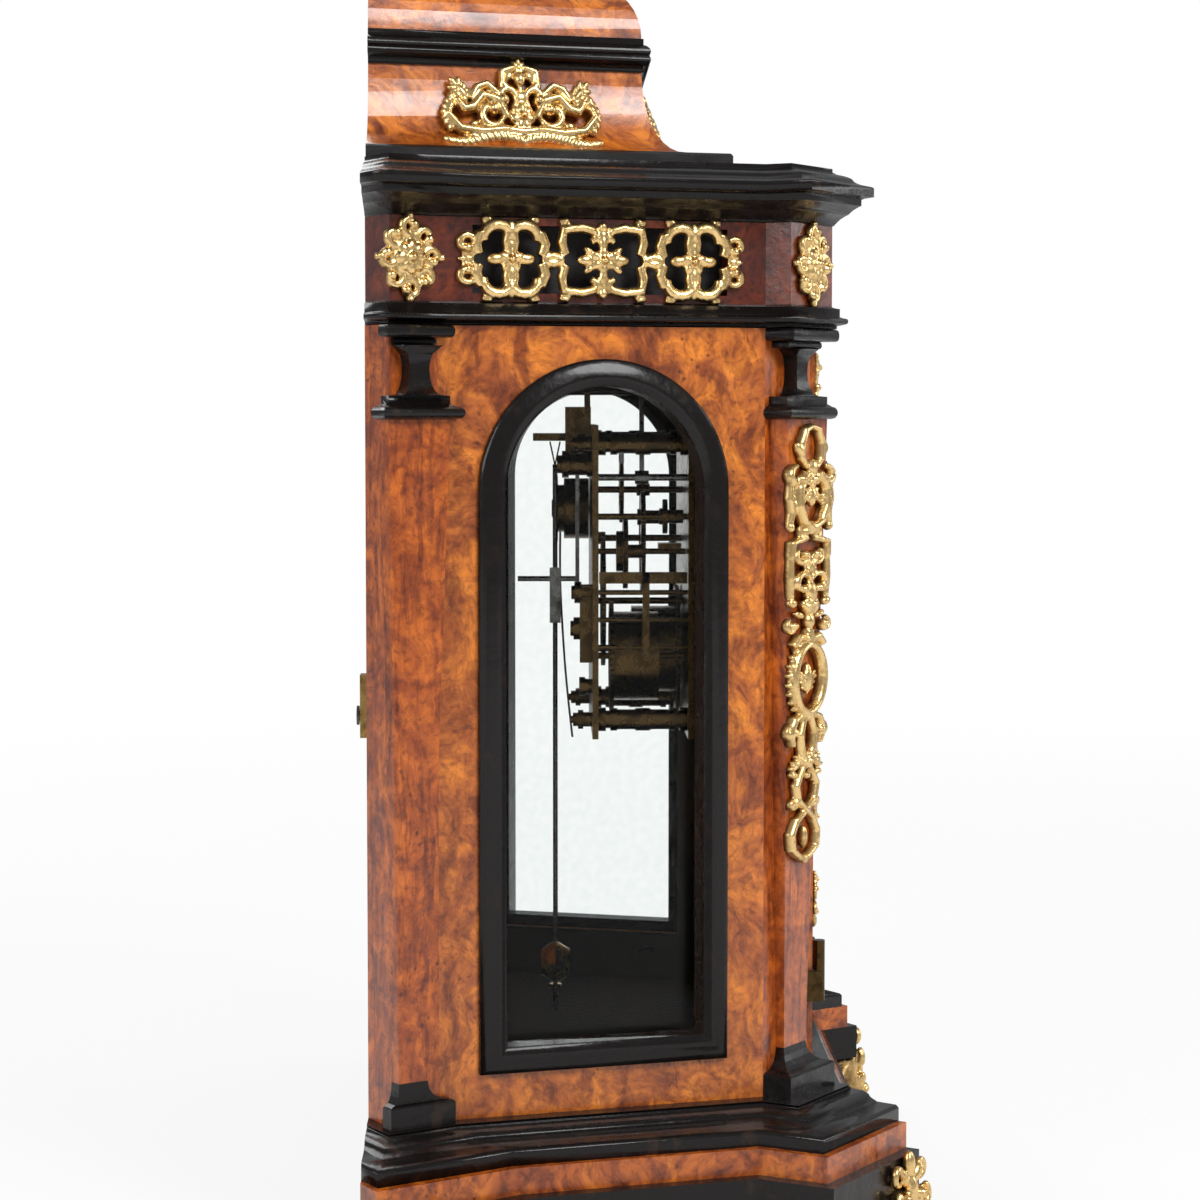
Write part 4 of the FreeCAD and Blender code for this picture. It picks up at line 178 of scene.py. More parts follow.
bpy.context.scene.view_settings.view_transform = "Standard"
print("lens", round(camera_data.lens, 1))

# %% [markdown]
# A thin line hangs from the small drum behind the movement: pulling it made the clock repeat the hour.
# It is limp, so it is a curve through the same points as the frame's own line, with a round section.
# %% Pull line
LINE_START = Vector((0.04248, 0.0380253, 0.302))
LINE_OFFSETS = [(0, 0, 0), (0.3, 0.7, -27), (-0.6, -0.6, -55), (0.5, -2.6, -84), (-0.4, -5.4, -108)]
LINE_WIDTH = 1 * MM
line_curve = bpy.data.curves.new("pull_line_curve", "CURVE")
line_curve.dimensions = "3D"
line_curve.bevel_depth = LINE_WIDTH / 2
line_curve.bevel_resolution = 3
line_curve.use_fill_caps = True
line_spline = line_curve.splines.new("NURBS")
line_spline.points.add(len(LINE_OFFSETS) - 1)
for spline_point, offset in zip(line_spline.points, LINE_OFFSETS):
    spline_point.co = (*(LINE_START + Vector(offset) * MM), 1)
line_spline.order_u = 3
line_spline.use_endpoint_u = True
pull_cord = placed("pull_cord", line_curve)
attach(pull_cord, "case")
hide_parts("pull_line")

# %% [markdown]
# A plain studio: a pale floor, a surround that is white to the camera and through the glass, and large
# soft lamps. The polished black would turn grey under a white surround, so mirror rays see the dimmer
# light of the room and the highlights come from the lamps.
# %% Floor, surround and lamps


def new_material(name):
    """An empty node material, its tree and a Principled BSDF."""
    material = bpy.data.materials.new(name)
    material.use_nodes = True
    tree = material.node_tree
    tree.nodes.clear()
    shader = tree.nodes.new("ShaderNodeBsdfPrincipled")
    added(tree, "ShaderNodeOutputMaterial", {"Surface": shader.outputs["BSDF"]})
    return material, tree, shader


def white_rays(tree):
    """A mask that is 1 for rays straight from the camera and for rays through glass."""
    path = tree.nodes.new("ShaderNodeLightPath")
    return maths(tree, "MAXIMUM", path.outputs["Is Camera Ray"], path.outputs["Is Transmission Ray"])


WHITE = (1.0, 1.0, 1.0)
BLACK = (0.0, 0.0, 0.0)
ROOM_LIGHT = 0.34
world = bpy.data.worlds.new("surround")
bpy.context.scene.world = world
world.use_nodes = True
world_tree = world.node_tree
world_tree.nodes.clear()
seen = added(world_tree, "ShaderNodeBackground", {"Color": WHITE, "Strength": 1})
soft_light = added(world_tree, "ShaderNodeBackground", {"Color": (0.95, 0.97, 1), "Strength": ROOM_LIGHT})
world_mix = added(world_tree, "ShaderNodeMixShader",
                  {"Fac": white_rays(world_tree), 1: soft_light.outputs[0], 2: seen.outputs[0]})
added(world_tree, "ShaderNodeOutputWorld", {"Surface": world_mix.outputs[0]})

FLOOR_REACH = 2.4
GLOW_START = 0.5
GLOW_END = 2.2
GLOW_LEAST = 0.84
floor_material, floor_tree, floor_shader = new_material("studio_floor")
feed(floor_tree, floor_shader, {"Base Color": (0.9, 0.9, 0.9), "Roughness": 0.7})
floor_glow = added(floor_tree, "ShaderNodeEmission", {"Color": WHITE})
floor_place = floor_tree.nodes.new("ShaderNodeTexCoord")
floor_distance = added(floor_tree, "ShaderNodeVectorMath", {0: floor_place.outputs["Object"]},
                       operation="LENGTH")
floor_far = added(
    floor_tree, "ShaderNodeMapRange",
    {"Value": floor_distance.outputs["Value"], "From Min": GLOW_START, "From Max": GLOW_END,
     "To Min": GLOW_LEAST, "To Max": 1}, interpolation_type="SMOOTHSTEP")
floor_part = maths(floor_tree, "MULTIPLY", white_rays(floor_tree), floor_far.outputs["Result"])
floor_mix = added(floor_tree, "ShaderNodeMixShader",
                  {"Fac": floor_part, 1: floor_shader.outputs[0], 2: floor_glow.outputs[0]})
feed(floor_tree, floor_tree.nodes["Material Output"], {"Surface": floor_mix.outputs[0]})
floor_mesh = bpy.data.meshes.new("floor")
corners = [(FLOOR_REACH * x, FLOOR_REACH * y, 0) for x, y in ((-1, -1), (1, -1), (1, 1), (-1, 1))]
floor_mesh.from_pydata(corners, [], [(0, 1, 2, 3)])
floor = placed("floor", floor_mesh)
floor_mesh.materials.append(floor_material)

LAMP_AIM = Vector((0, 0, 0.3))
LAMPS = {
    "key": ((-1.3, -0.9, 1.5), 0.8, 27),
    "fill": ((-1.3, 1.3, 1.0), 0.9, 14),
    "rear": ((1.4, 0.9, 1.5), 1.2, 14),
    "front": ((0.5, -1.9, 0.9), 1.0, 9),
}
for lamp_name, (place, width, power) in LAMPS.items():
    lamp_data = bpy.data.lights.new(lamp_name, "AREA")
    lamp_data.shape = "DISK"
    lamp_data.size = width
    lamp_data.energy = power
    lamp = placed(lamp_name, lamp_data)
    lamp.location = place
    lamp.rotation_euler = (LAMP_AIM - Vector(place)).to_track_quat("-Z", "Y").to_euler()
print("lamps", len(LAMPS))

# %% [markdown]
# Several finishes share the same effects: a cloudy variation, a hand-rubbed surface with small dents,
# and the painted shade that darkens the inside of the case. Each is a shader group with named inputs,
# so that one change reaches every finish that uses it.
# %% Helpers for shader groups


def new_group(name, inputs, outputs):
    """A shader node group with named sockets; inputs are (name, kind, default)."""
    group = bpy.data.node_groups.new(name, "ShaderNodeTree")
    for socket_name, kind, default in inputs:
        socket = group.interface.new_socket(name=socket_name, in_out="INPUT", socket_type="NodeSocket" + kind)
        if default is not None:
            socket.default_value = default
    for socket_name, kind in outputs:
        group.interface.new_socket(name=socket_name, in_out="OUTPUT", socket_type="NodeSocket" + kind)
    return group, group.nodes.new("NodeGroupInput"), group.nodes.new("NodeGroupOutput")


def noise(tree, vector, scale, detail=4.0, roughness=0.5, distortion=0.0, output="Fac"):
    """A noise texture's output."""
    return added(tree, "ShaderNodeTexNoise", {
        "Vector": vector, "Scale": scale, "Detail": detail, "Roughness": roughness,
        "Distortion": distortion}).outputs[output]


def ramp(tree, factor, stops):
    """A colour ramp from (place, colour) stops."""
    node = added(tree, "ShaderNodeValToRGB", {"Fac": factor})
    elements = node.color_ramp.elements
    for number, (place, colour) in enumerate(stops):
        element = elements[number] if number < 2 else elements.new(place)
        element.position = place
        element.color = (*colour, 1)
    return node.outputs["Color"]


def blend_colours(tree, factor, first, second, mode="MIX"):
    """Mixes two colours, which are tuples or sockets."""
    return added(tree, "ShaderNodeMix", {"Factor": factor, 6: first, 7: second},
                 data_type="RGBA", blend_type=mode).outputs[2]


def object_vector(tree):
    """Object coordinates, in metres, of the point being shaded."""
    return tree.nodes.new("ShaderNodeTexCoord").outputs["Object"]


SURFACE_OUTPUTS = [("Color", "Color"), ("Roughness", "Float"), ("Height", "Float")]

# %% [markdown]
# The inside of the case is painted nearly black as shade, and the camera looks through it. A point counts
# as inside when it lies behind the outer faces of the side walls, the front and the back, which a few
# plan distances tell. The group gives that as a mask for the painted shade.
# %% Group: painted shade inside the case
INSIDE_DEPTH = 10 * MM
FACE_DEPTH = 1 * MM
INSIDE_FLOOR_Z = 0.0615
INSIDE_TOP_Z = 0.437
inside, inside_in, inside_out = new_group("painted_shade_inside_case", [("Vector", "Vector", None)], [("Mask", "Float")])
inside_split = added(inside, "ShaderNodeSeparateXYZ", {0: inside_in.outputs["Vector"]})
inside_x, inside_y, inside_z = inside_split.outputs
wall_turn = math.radians(WALL_ANGLE)
side_gap = maths(inside, "SUBTRACT", maths(inside, "ABSOLUTE", inside_x), window_mid.x)
across = maths(inside, "MULTIPLY", side_gap, math.cos(wall_turn))
deep = maths(inside, "MULTIPLY", maths(inside, "SUBTRACT", inside_y, window_mid.y), math.sin(wall_turn))
INSIDE_TESTS = [
    ("LESS_THAN", maths(inside, "SUBTRACT", across, deep), -INSIDE_DEPTH),
    ("GREATER_THAN", inside_y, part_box("front_frame")[0][1] + FACE_DEPTH),
    ("LESS_THAN", inside_y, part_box("back_frame")[0][1] + FACE_DEPTH),
    ("GREATER_THAN", inside_z, INSIDE_FLOOR_Z),
    ("LESS_THAN", inside_z, INSIDE_TOP_Z),
]
inside_shade_mask = 1
for operation, place, limit in INSIDE_TESTS:
    inside_shade_mask = maths(inside, "MULTIPLY", inside_shade_mask, maths(inside, operation, place, limit))
feed(inside, inside_out, {"Mask": inside_shade_mask})
print("inside tests", len(INSIDE_TESTS))

# %% [markdown]
# Burr walnut comes from a knotty growth, so its grain swirls and clusters into dark eyes on a honey
# ground. One noise bends the coordinates of the others, which gives the swirl, and a fine cell pattern
# gives the eyes. The streak inputs tell how fine the plainer long streaks run each way.
# %% Group: burr walnut
burr, burr_in, burr_out = new_group(
    "burr_walnut",
    [("Vector", "Vector", None), ("Swirl", "Float", 0.02), ("Streak X", "Float", 30.0),
     ("Streak Z", "Float", 6.0)], SURFACE_OUTPUTS)
burr_vector = burr_in.outputs["Vector"]
bend_noise = noise(burr, burr_vector, 22, 3, 0.5, output="Color")
bend_shift = vector_maths(burr, "SUBTRACT", bend_noise, (0.5, 0.5, 0.5))
bend = added(burr, "ShaderNodeVectorMath", {0: bend_shift, "Scale": burr_in.outputs["Swirl"]},
             operation="SCALE")
bent = vector_maths(burr, "ADD", burr_vector, bend.outputs[0])
clouds = noise(burr, bent, 58, 8, 0.66, 0.9)
mottle = noise(burr, bent, 260, 6, 0.62, 0.5)
fine_streak, long_streak = burr_in.outputs["Streak X"], burr_in.outputs["Streak Z"]
streak_scale = added(burr, "ShaderNodeCombineXYZ", {"X": fine_streak, "Y": fine_streak, "Z": long_streak})
streaks = noise(burr, vector_maths(burr, "MULTIPLY", bent, streak_scale.outputs[0]), 4.0, 6, 0.65, 0.4)
eye_cells = added(burr, "ShaderNodeTexVoronoi", {"Scale": 210, "Vector": bent}).outputs["Distance"]
eye_places = ramp(burr, noise(burr, burr_vector, 28, 2), [(0.5, BLACK), (0.62, WHITE)])
eye_dots = ramp(burr, eye_cells, [(0.08, (0.16, 0.09, 0.06)), (0.26, WHITE)])
walnut_colour = ramp(burr, clouds, [
    (0.27, (0.15, 0.026, 0.005)), (0.76, (0.86, 0.32, 0.045)), (0.39, (0.31, 0.068, 0.010)),
    (0.50, (0.48, 0.125, 0.017)), (0.61, (0.70, 0.205, 0.02))])
for strength, layer in (
        (0.85, ramp(burr, streaks, [(0.35, (0.34, 0.22, 0.16)), (0.52, WHITE)])),
        (0.8, ramp(burr, mottle, [(0.33, (0.42, 0.32, 0.26)), (0.52, WHITE)])),
        (0.8, blend_colours(burr, eye_places, WHITE, eye_dots))):
    walnut_colour = blend_colours(burr, strength, walnut_colour, layer, "MULTIPLY")
feed(burr, burr_out, {
    "Color": walnut_colour,
    "Roughness": maths(burr, "MULTIPLY_ADD", noise(burr, burr_vector, 60, 3), 0.26, 0.18),
    "Height": maths(burr, "MULTIPLY_ADD", mottle, 0.35, noise(burr, burr_vector, 95, 5, 0.6))})
print("burr walnut group", len(burr.nodes), "nodes")

# %% [markdown]
# Ebonised pear wood is stained black and polished by hand. It is never quite flat, so its highlights
# break up, and the black wears to brown in places. One group gives its colour, roughness and height.
# %% Group: ebonised lacquer
ebony, ebony_in, ebony_out = new_group(
    "ebonised_polish", [("Vector", "Vector", None), ("Wear", "Float", 0.5)], SURFACE_OUTPUTS)
ebony_vector = ebony_in.outputs["Vector"]
rub = noise(ebony, ebony_vector, 70, 6, 0.6, 0.4)
rub_spots = ramp(ebony, rub, [(0.6, BLACK), (0.72, WHITE)])
rub_amount = blend_colours(ebony, ebony_in.outputs["Wear"], BLACK, rub_spots)
waves = noise(ebony, ebony_vector, 45, 3, 0.5, 0.2)
feed(ebony, ebony_out, {
    "Color": blend_colours(ebony, rub_amount, (0.0065, 0.005, 0.0045), (0.055, 0.026, 0.014)),
    "Roughness": maths(ebony, "MULTIPLY_ADD", rub, 0.3, 0.12),
    "Height": maths(ebony, "MULTIPLY_ADD", noise(ebony, ebony_vector, 420, 4, 0.6), 0.12, waves)})

# %% [markdown]
# Fire-gilt bronze is bright on the high places. Its hollows are painted brown, both for the soot and
# polish that stay there and for the shade that falls there. The cast pieces carry a relief value, 0 in
# the ground and 1 on the top, and the group turns it into that painted change of colour. Plain brass
# uses the same group with less gold in it.
# %% Group: old metal
metal, metal_in, metal_out = new_group(
    "old_metal",
    [("Vector", "Vector", None), ("Relief", "Float", 1.0), ("Bright", "Color", (0.8, 0.55, 0.22, 1)),
     ("Tarnish and shade", "Color", (0.2, 0.1, 0.03, 1)), ("Spots", "Float", 0.5)], SURFACE_OUTPUTS)
tarnish = noise(metal, metal_in.outputs["Vector"], 170, 6, 0.65, 0.3)
fine_pits = noise(metal, metal_in.outputs["Vector"], 900, 4, 0.6)
spot_mask = ramp(metal, tarnish, [(0.48, BLACK), (0.7, WHITE)])
spot_amount = maths(metal, "MULTIPLY", metal_in.outputs["Spots"], spot_mask)
# painted shade and grime: the low places of a casting take the dark colour
hollow_shade = maths(metal, "SUBTRACT", 1.0, maths(metal, "SMOOTH_MIN", metal_in.outputs["Relief"], 1.0, 0.1))
tarnish_and_hollow_shade = maths(metal, "MINIMUM", maths(metal, "ADD", spot_amount, hollow_shade), 1.0)
feed(metal, metal_out, {
    "Color": blend_colours(metal, tarnish_and_hollow_shade, metal_in.outputs["Bright"], metal_in.outputs["Tarnish and shade"]),
    "Roughness": maths(metal, "MULTIPLY_ADD", tarnish_and_hollow_shade, 0.3, 0.26),
    "Height": maths(metal, "MULTIPLY_ADD", fine_pits, 0.3, tarnish)})

# %% [markdown]
# A finish is a Principled BSDF fed by one of these groups and a small bump. Constants such as the coat
# are set on the shader's own sockets, because only those travel with the model.
# %% Finish makers


def use_group(tree, group, vector, **values):
    """The outputs of a group on a vector, with its other inputs set."""
    return added(tree, "ShaderNodeGroup", {"Vector": vector, **spaced(values)}, node_tree=group).outputs


def add_bump(tree, shader, height, distance, strength=1.0):
    """A bump from a height socket; distance is in metres."""
    bump = added(tree, "ShaderNodeBump", {"Distance": distance, "Strength": strength, "Height": height})
    feed(tree, shader, {"Normal": bump.outputs["Normal"]})


def wood_finish(name, group, paint_inside_shade=True, coat=0.22, bump=0.0003, shine=0.5, tint=None,
                black_below=None, **values):
    """A polished wood finish, with painted shade where it faces the inside of the case."""
    material, tree, shader = new_material(name)
    vector = object_vector(tree)
    pattern = use_group(tree, group, vector, **values)
    colour = pattern["Color"]
    if tint:
        colour = blend_colours(tree, 1.0, colour, tint, "MULTIPLY")
    if black_below:
        height = added(tree, "ShaderNodeSeparateXYZ", {0: vector}).outputs["Z"]
        colour = blend_colours(tree, maths(tree, "LESS_THAN", height, black_below), colour,
                               (0.007, 0.005, 0.0045))
    if paint_inside_shade:
        # painted shade: faces inside the case are darkened to near black
        colour = blend_colours(tree, use_group(tree, inside, vector)["Mask"], colour, (0.006, 0.005, 0.004))
    feed(tree, shader, {"Base Color": colour, "Roughness": pattern["Roughness"], "Coat Weight": coat,
                        "Coat Roughness": 0.1, "Specular IOR Level": shine})
    add_bump(tree, shader, pattern["Height"], bump)
    return material


def metal_finish(name, bright, tarnish_and_shade, spots, bump=0.00006, relief=False):
    """A worn metal; with relief, the hollows of a casting are painted darker, for grime and for shade."""
    material, tree, shader = new_material(name)
    values = {"Bright": bright, "Tarnish and shade": tarnish_and_shade, "Spots": spots}
    if relief:
        values["Relief"] = added(tree, "ShaderNodeAttribute", {}, attribute_name="relief").outputs["Fac"]
    pattern = use_group(tree, metal, object_vector(tree), **values)
    feed(tree, shader, {"Metallic": 1, "Base Color": pattern["Color"], "Roughness": pattern["Roughness"]})
    add_bump(tree, shader, pattern["Height"], bump)
    return material


def plain_finish(name, texture, stops, roughness, bump, **constants):
    """One texture gives the colour and the bump; a pair for the roughness is its share and its base."""
    material, tree, shader = new_material(name)
    factor = texture(tree, object_vector(tree))
    if isinstance(roughness, tuple):
        roughness = maths(tree, "MULTIPLY_ADD", factor, *roughness)
    feed(tree, shader, {"Base Color": ramp(tree, factor, stops), "Roughness": roughness, **spaced(constants)})
    add_bump(tree, shader, factor, bump)
    return material


def cord_bands(tree, vector):
    """The slanted bands of a twisted cord."""
    return added(tree, "ShaderNodeTexWave", {"Scale": 900, "Vector": vector},
                 bands_direction="DIAGONAL").outputs["Fac"]


# %% [markdown]
# The woods, the blacks and the metals differ only in a few values. The windows are thin hand-made
# panes: clear, a little wavy and dusty. The silk behind the frets is nearly black, and the line is a
# twisted cord.
# %% Finishes
BELL_BOARD_TOP = 0.4542
walnut_panel = wood_finish("walnut_panel", burr, Swirl=0.03, Streak_X=26, Streak_Z=9)
walnut_post = wood_finish("walnut_post", burr, tint=(0.80, 0.64, 0.54), Swirl=0.012, Streak_X=60, Streak_Z=7)
walnut_band = wood_finish("walnut_band", burr, tint=(0.8, 0.68, 0.6), Swirl=0.03, Streak_X=30, Streak_Z=30)
walnut_top = wood_finish("walnut_top", burr, paint_inside_shade=False, Swirl=0.05, Streak_X=8, Streak_Z=34)
walnut_bell = wood_finish("walnut_bell", burr, paint_inside_shade=False, black_below=BELL_BOARD_TOP, Swirl=0.05,
                          Streak_X=8, Streak_Z=34)
frieze_wood = wood_finish("frieze_wood", burr, tint=(0.26, 0.13, 0.12), Swirl=0.02, Streak_X=60, Streak_Z=60)
POLISH = {"coat": 0.25, "bump": 0.0014, "shine": 0.14}
black_polish = wood_finish("black_polish", ebony, Wear=0.4, **POLISH)
black_frame = wood_finish("black_frame", ebony, paint_inside_shade=False, Wear=0.2, **POLISH)
stained_board = plain_finish(
    "stained_board", lambda tree, vector: noise(tree, vector, 40, 6, 0.6),
    [(0.3, (0.005, 0.004, 0.004)), (0.75, (0.022, 0.015, 0.011))], (0.2, 0.75), 0.0005,
    Specular_IOR_Level=0.1)
gilt_cast = metal_finish("gilt_cast", (0.84, 0.58, 0.25), (0.12, 0.058, 0.018), 0.5, 0.0002, relief=True)
old_brass = metal_finish("old_brass", (0.42, 0.27, 0.09), (0.075, 0.04, 0.014), 0.7)
dark_brass = metal_finish("dark_brass", (0.075, 0.045, 0.017), (0.018, 0.011, 0.006), 0.8)
dark_steel = metal_finish("dark_steel", (0.13, 0.125, 0.12), (0.035, 0.026, 0.02), 0.6)
blued_steel = metal_finish("blued_steel", (0.03, 0.045, 0.11), (0.015, 0.015, 0.02), 0.3)
silvered = metal_finish("silvered", (0.72, 0.70, 0.64), (0.38, 0.33, 0.25), 0.35)
bell_metal = metal_finish("bell_metal", (0.42, 0.33, 0.2), (0.09, 0.06, 0.035), 0.6)
glass_pane, glass_tree, glass_shader = new_material("glass_pane")
glass_vector = object_vector(glass_tree)
glass_dust = noise(glass_tree, glass_vector, 260, 5)
feed(glass_tree, glass_shader, {
    "Transmission Weight": 1, "IOR": 1.16, "Roughness": maths(glass_tree, "MULTIPLY", glass_dust, 0.05),
    "Base Color": ramp(glass_tree, glass_dust, [(0.3, (0.93, 0.96, 0.95)), (0.7, (0.98, 0.99, 0.985))])})
add_bump(glass_tree, glass_shader, noise(glass_tree, glass_vector, 14, 2), 0.0001, 0.3)
silk_back = plain_finish(
    "silk_back", lambda tree, vector: noise(tree, vector, 1500, 2),
    [(0.3, (0.004, 0.003, 0.003)), (0.7, (0.02, 0.016, 0.016))], 0.6, 0.0001, Sheen_Weight=0.3)
line_cord = plain_finish(
    "line_cord", cord_bands, [(0.2, (0.02, 0.014, 0.01)), (0.8, (0.10, 0.075, 0.05))], 0.8, 0.0002)
line_curve.materials.append(line_cord)

# %% [markdown]
# Each carried-over piece of the frame now gets its finish. The table below follows the photograph: burr
# walnut on flat faces, black on every moulding, and dark aged metal inside.
# %% Finishes of the frame's own pieces
FINISHES = {
    walnut_panel: ["side_panels", "front_door", "back_door"],
    walnut_post: ["corner_posts", "pilaster_shafts", "back_frame"],
    walnut_band: ["base_band"],
    walnut_top: ["bell_upper"],
    walnut_bell: ["bell_lower"],
    frieze_wood: ["frieze_frame"],
    black_polish: ["plinth_board", "base_moulding", "pilaster_bases", "pilaster_capitals",
                   "architrave_moulding", "cornice", "bell_moulding"],
    black_frame: ["side_window_frames", "front_door_moulding"],
    stained_board: ["bottom_board", "top_board", "ceiling_board", "front_frame"],
    glass_pane: ["side_glasses", "front_door_glass"],
    silk_back: ["frieze_panes"],
    gilt_cast: ["frieze_frets", "corner_rosettes", "pilaster_mounts", "bell_mounts", "feet",
                "front_door_mounts", "dial_castings", "finial"],
    old_brass: ["back_door_hinges", "back_turn", "dial_plate", "pendulum_bob"],
    dark_brass: ["door_hinge_leaves", "fixed_hinge_leaves", "going_barrel", "strike_barrel",
                 "movement_plates", "movement_pillars", "centre_arbor", "hour_wheel", "minute_wheel",
                 "third_wheel", "escape_wheel", "back_brackets", "pull_drum"],
    dark_steel: ["back_turn_screw", "pallets", "pendulum_rod", "hammer"],
    blued_steel: ["minute_hand", "hour_hand"],
    silvered: ["chapter_ring"],
    bell_metal: ["strike_bell"],
    line_cord: ["pull_line"],
}
for finish, names in FINISHES.items():
    for name in names:
        nodes[name].data.materials.clear()
        nodes[name].data.materials.append(finish)
finished = {name for names in FINISHES.values() for name in names}
print("pieces without a finish", sorted(set(nodes) - finished))

# %% [markdown]
# The gilt mounts were cast from carved wax, so their scrolls, leaves and berries melt into each other.
# Here each mount is drawn with strokes that swell and taper, lobes and beads, and a voxel remesh melts
# them into one skin, as the casting did. The relief value is kept from the height above the ground; the
# gilt finish paints the low places darker with it, as shade and grime.
# %% Strokes, lobes and beads


class Casting:
    """A mount drawn in millimetres: X right, Y up, Z out of the face."""

    def __init__(self, voxel=0.55):
        self.build = bmesh.new()
        self.voxel = voxel

    def stroke(self, points, width, taper=0.35, lift=1.0, sides=8, ridge=1.25):
        """A rounded bar along points; it is full in the middle and thin at the ends."""
        places = [Vector((p[0], p[1], p[2] if len(p) > 2 else lift)) for p in points]
        count = len(places)
        rings = []
        for number, place in enumerate(places):
            ahead = places[min(number + 1, count - 1)] - places[max(number - 1, 0)]
            ahead.normalize()
            side = Vector((-ahead.y, ahead.x, 0)).normalized()
            up = ahead.cross(side) * -1
            if up.z < 0:
                up = -up
            swell = taper + (1 - taper) * math.sin(math.pi * (number + 0.5) / count) ** 0.7
            radius = width / 2 * swell
            ring = []
            for turn in range(sides):
                angle = 2 * math.pi * turn / sides
                offset = side * math.cos(angle) * radius + up * math.sin(angle) * radius * ridge
                ring.append(self.build.verts.new(place + offset))
            rings.append(ring)
        for first, second in zip(rings, rings[1:]):
            for turn in range(sides):
                after = (turn + 1) % sides
                self.build.faces.new((first[turn], first[after], second[after], second[turn]))
        self.build.faces.new(list(reversed(rings[0])))
        self.build.faces.new(rings[-1])

    def lobe(self, x, y, length, width, angle, height=1.6, lift=1.0):
        """A leaf lobe: an egg laid on the ground, its long axis turned by the angle in degrees."""
        matrix = (Matrix.Translation((x, y, lift)) @ Matrix.Rotation(math.radians(angle), 4, "Z")
                  @ Matrix.Diagonal((length / 2, width / 2, height, 1)))
        bmesh.ops.create_uvsphere(self.build, u_segments=12, v_segments=8, radius=1, matrix=matrix)

    def bead(self, x, y, radius, lift=1.2):
        """A round berry."""
        self.lobe(x, y, 2 * radius, 2 * radius, 0, radius * 1.3, lift)

    def curl(self, x, y, radius, start, turns, width, lift=1.0, grow=0.22, knob=True):
        """A volute round (x, y): it starts at radius and winds in by signed turns."""
        steps = max(8, int(abs(turns) * 18))
        points = []
        for step in range(steps + 1):
            part = step / steps
            along, across = polar(radius * (1 - part) + radius * grow * part, start + 360 * turns * part)
            points.append((x + along, y + across, lift))
        self.stroke(points, width, 0.55, lift)
        if knob:
            self.bead(points[-1][0], points[-1][1], width * 0.62, lift + 0.5)

    def flower(self, x, y, radius, petals=6, lift=1.6):
        """A flower with round petals and a berried heart."""
        for petal in range(petals):
            angle = 360 * petal / petals + 90
            along, across = polar(radius * 0.58, angle)
            self.lobe(x + along, y + across, radius * 0.95, radius * 0.72, angle, radius * 0.34, lift)
        self.bead(x, y, radius * 0.3, lift + radius * 0.28)

    def leaf(self, x, y, length, angle, width=3.0, lobes=3, lift=1.1):
        """An acanthus leaf: a rib with lobes spreading on both sides."""
        run = Vector(polar(1, angle))
        rib = [(x + run.x * length * s / 4, y + run.y * length * s / 4, lift + 0.6 * math.sin(s))
               for s in range(5)]
        self.stroke(rib, width * 0.5, 0.4, lift)
        for number in range(lobes):
            part = (number + 0.4) / lobes
            for side in (-1, 1):
                spread = side * width * 0.45
                along = length * part
                self.lobe(x + run.x * along - run.y * spread, y + run.y * along + run.x * spread,
                          width * 1.15, width * 0.55, angle + side * 38, 1.3, lift)
        self.lobe(x + run.x * length, y + run.y * length, width * 1.1, width * 0.6, angle, 1.3, lift)

    def mirrored(self, draw):
        """Draws something twice: as given and mirrored in X."""
        other = Casting(self.voxel)
        draw(other)
        bmesh.ops.recalc_face_normals(other.build, faces=other.build.faces)
        mesh = mesh_from(other.build, "mirror_half")
        self.build.from_mesh(mesh)
        mesh.transform(Matrix.Diagonal((-1, 1, 1, 1)))
        mesh.flip_normals()
        self.build.from_mesh(mesh)
        bpy.data.meshes.remove(mesh)

    def cast(self, name):
        """Melts everything into one skin in metres, with the relief value."""
        bmesh.ops.recalc_face_normals(self.build, faces=self.build.faces)
        wax = placed(name + "_wax", mesh_from(self.build, name + "_wax"))
        melt = wax.modifiers.new("melt", "REMESH")
        melt.mode = "VOXEL"
        melt.voxel_size = self.voxel
        melt.use_smooth_shade = True
        ease = wax.modifiers.new("ease", "SMOOTH")
        ease.factor = 0.4
        ease.iterations = 2
        skin = evaluated(wax, name)
        # relief from height: the gilt finish paints low places darker with it, as painted shade and grime
        heights = sorted(vertex.co.z for vertex in skin.vertices)
        low, high = heights[len(heights) // 5], heights[len(heights) * 3 // 4]
        relief = skin.attributes.new("relief", "FLOAT", "POINT")
        relief.data.foreach_set("value", [
            min(1.0, max(0.0, (vertex.co.z - low) / (high - low))) for vertex in skin.vertices])
        skin.transform(Matrix.Scale(MM, 4))
        print("cast", name, len(skin.polygons), "faces")
        return skin


MIRROR = Matrix.Diagonal((-1, 1, 1, 1))


def carried(skin, places):
    """One mesh from copies of a skin, each with a matrix and a mark that says if it is mirrored."""
    build = bmesh.new()
    for matrix, mirror in places:
        copy = skin.copy()
        copy.transform(MIRROR @ matrix if mirror else matrix)
        if mirror:
            copy.flip_normals()
        build.from_mesh(copy)
        bpy.data.meshes.remove(copy)
    mesh = mesh_from(build, skin.name + "_set")
    mesh.shade_smooth()
    return mesh


def both_sides(*matrices):
    """Places for carried: each matrix as it is, and mirrored to the other side."""
    return [(matrix, mirror) for matrix in matrices for mirror in (False, True)]


def joined(name, meshes):
    """One mesh from several."""
    build = bmesh.new()
    for mesh in meshes:
        build.from_mesh(mesh)
        bpy.data.meshes.remove(mesh)
    whole = mesh_from(build, name)
    whole.shade_smooth()
    return whole


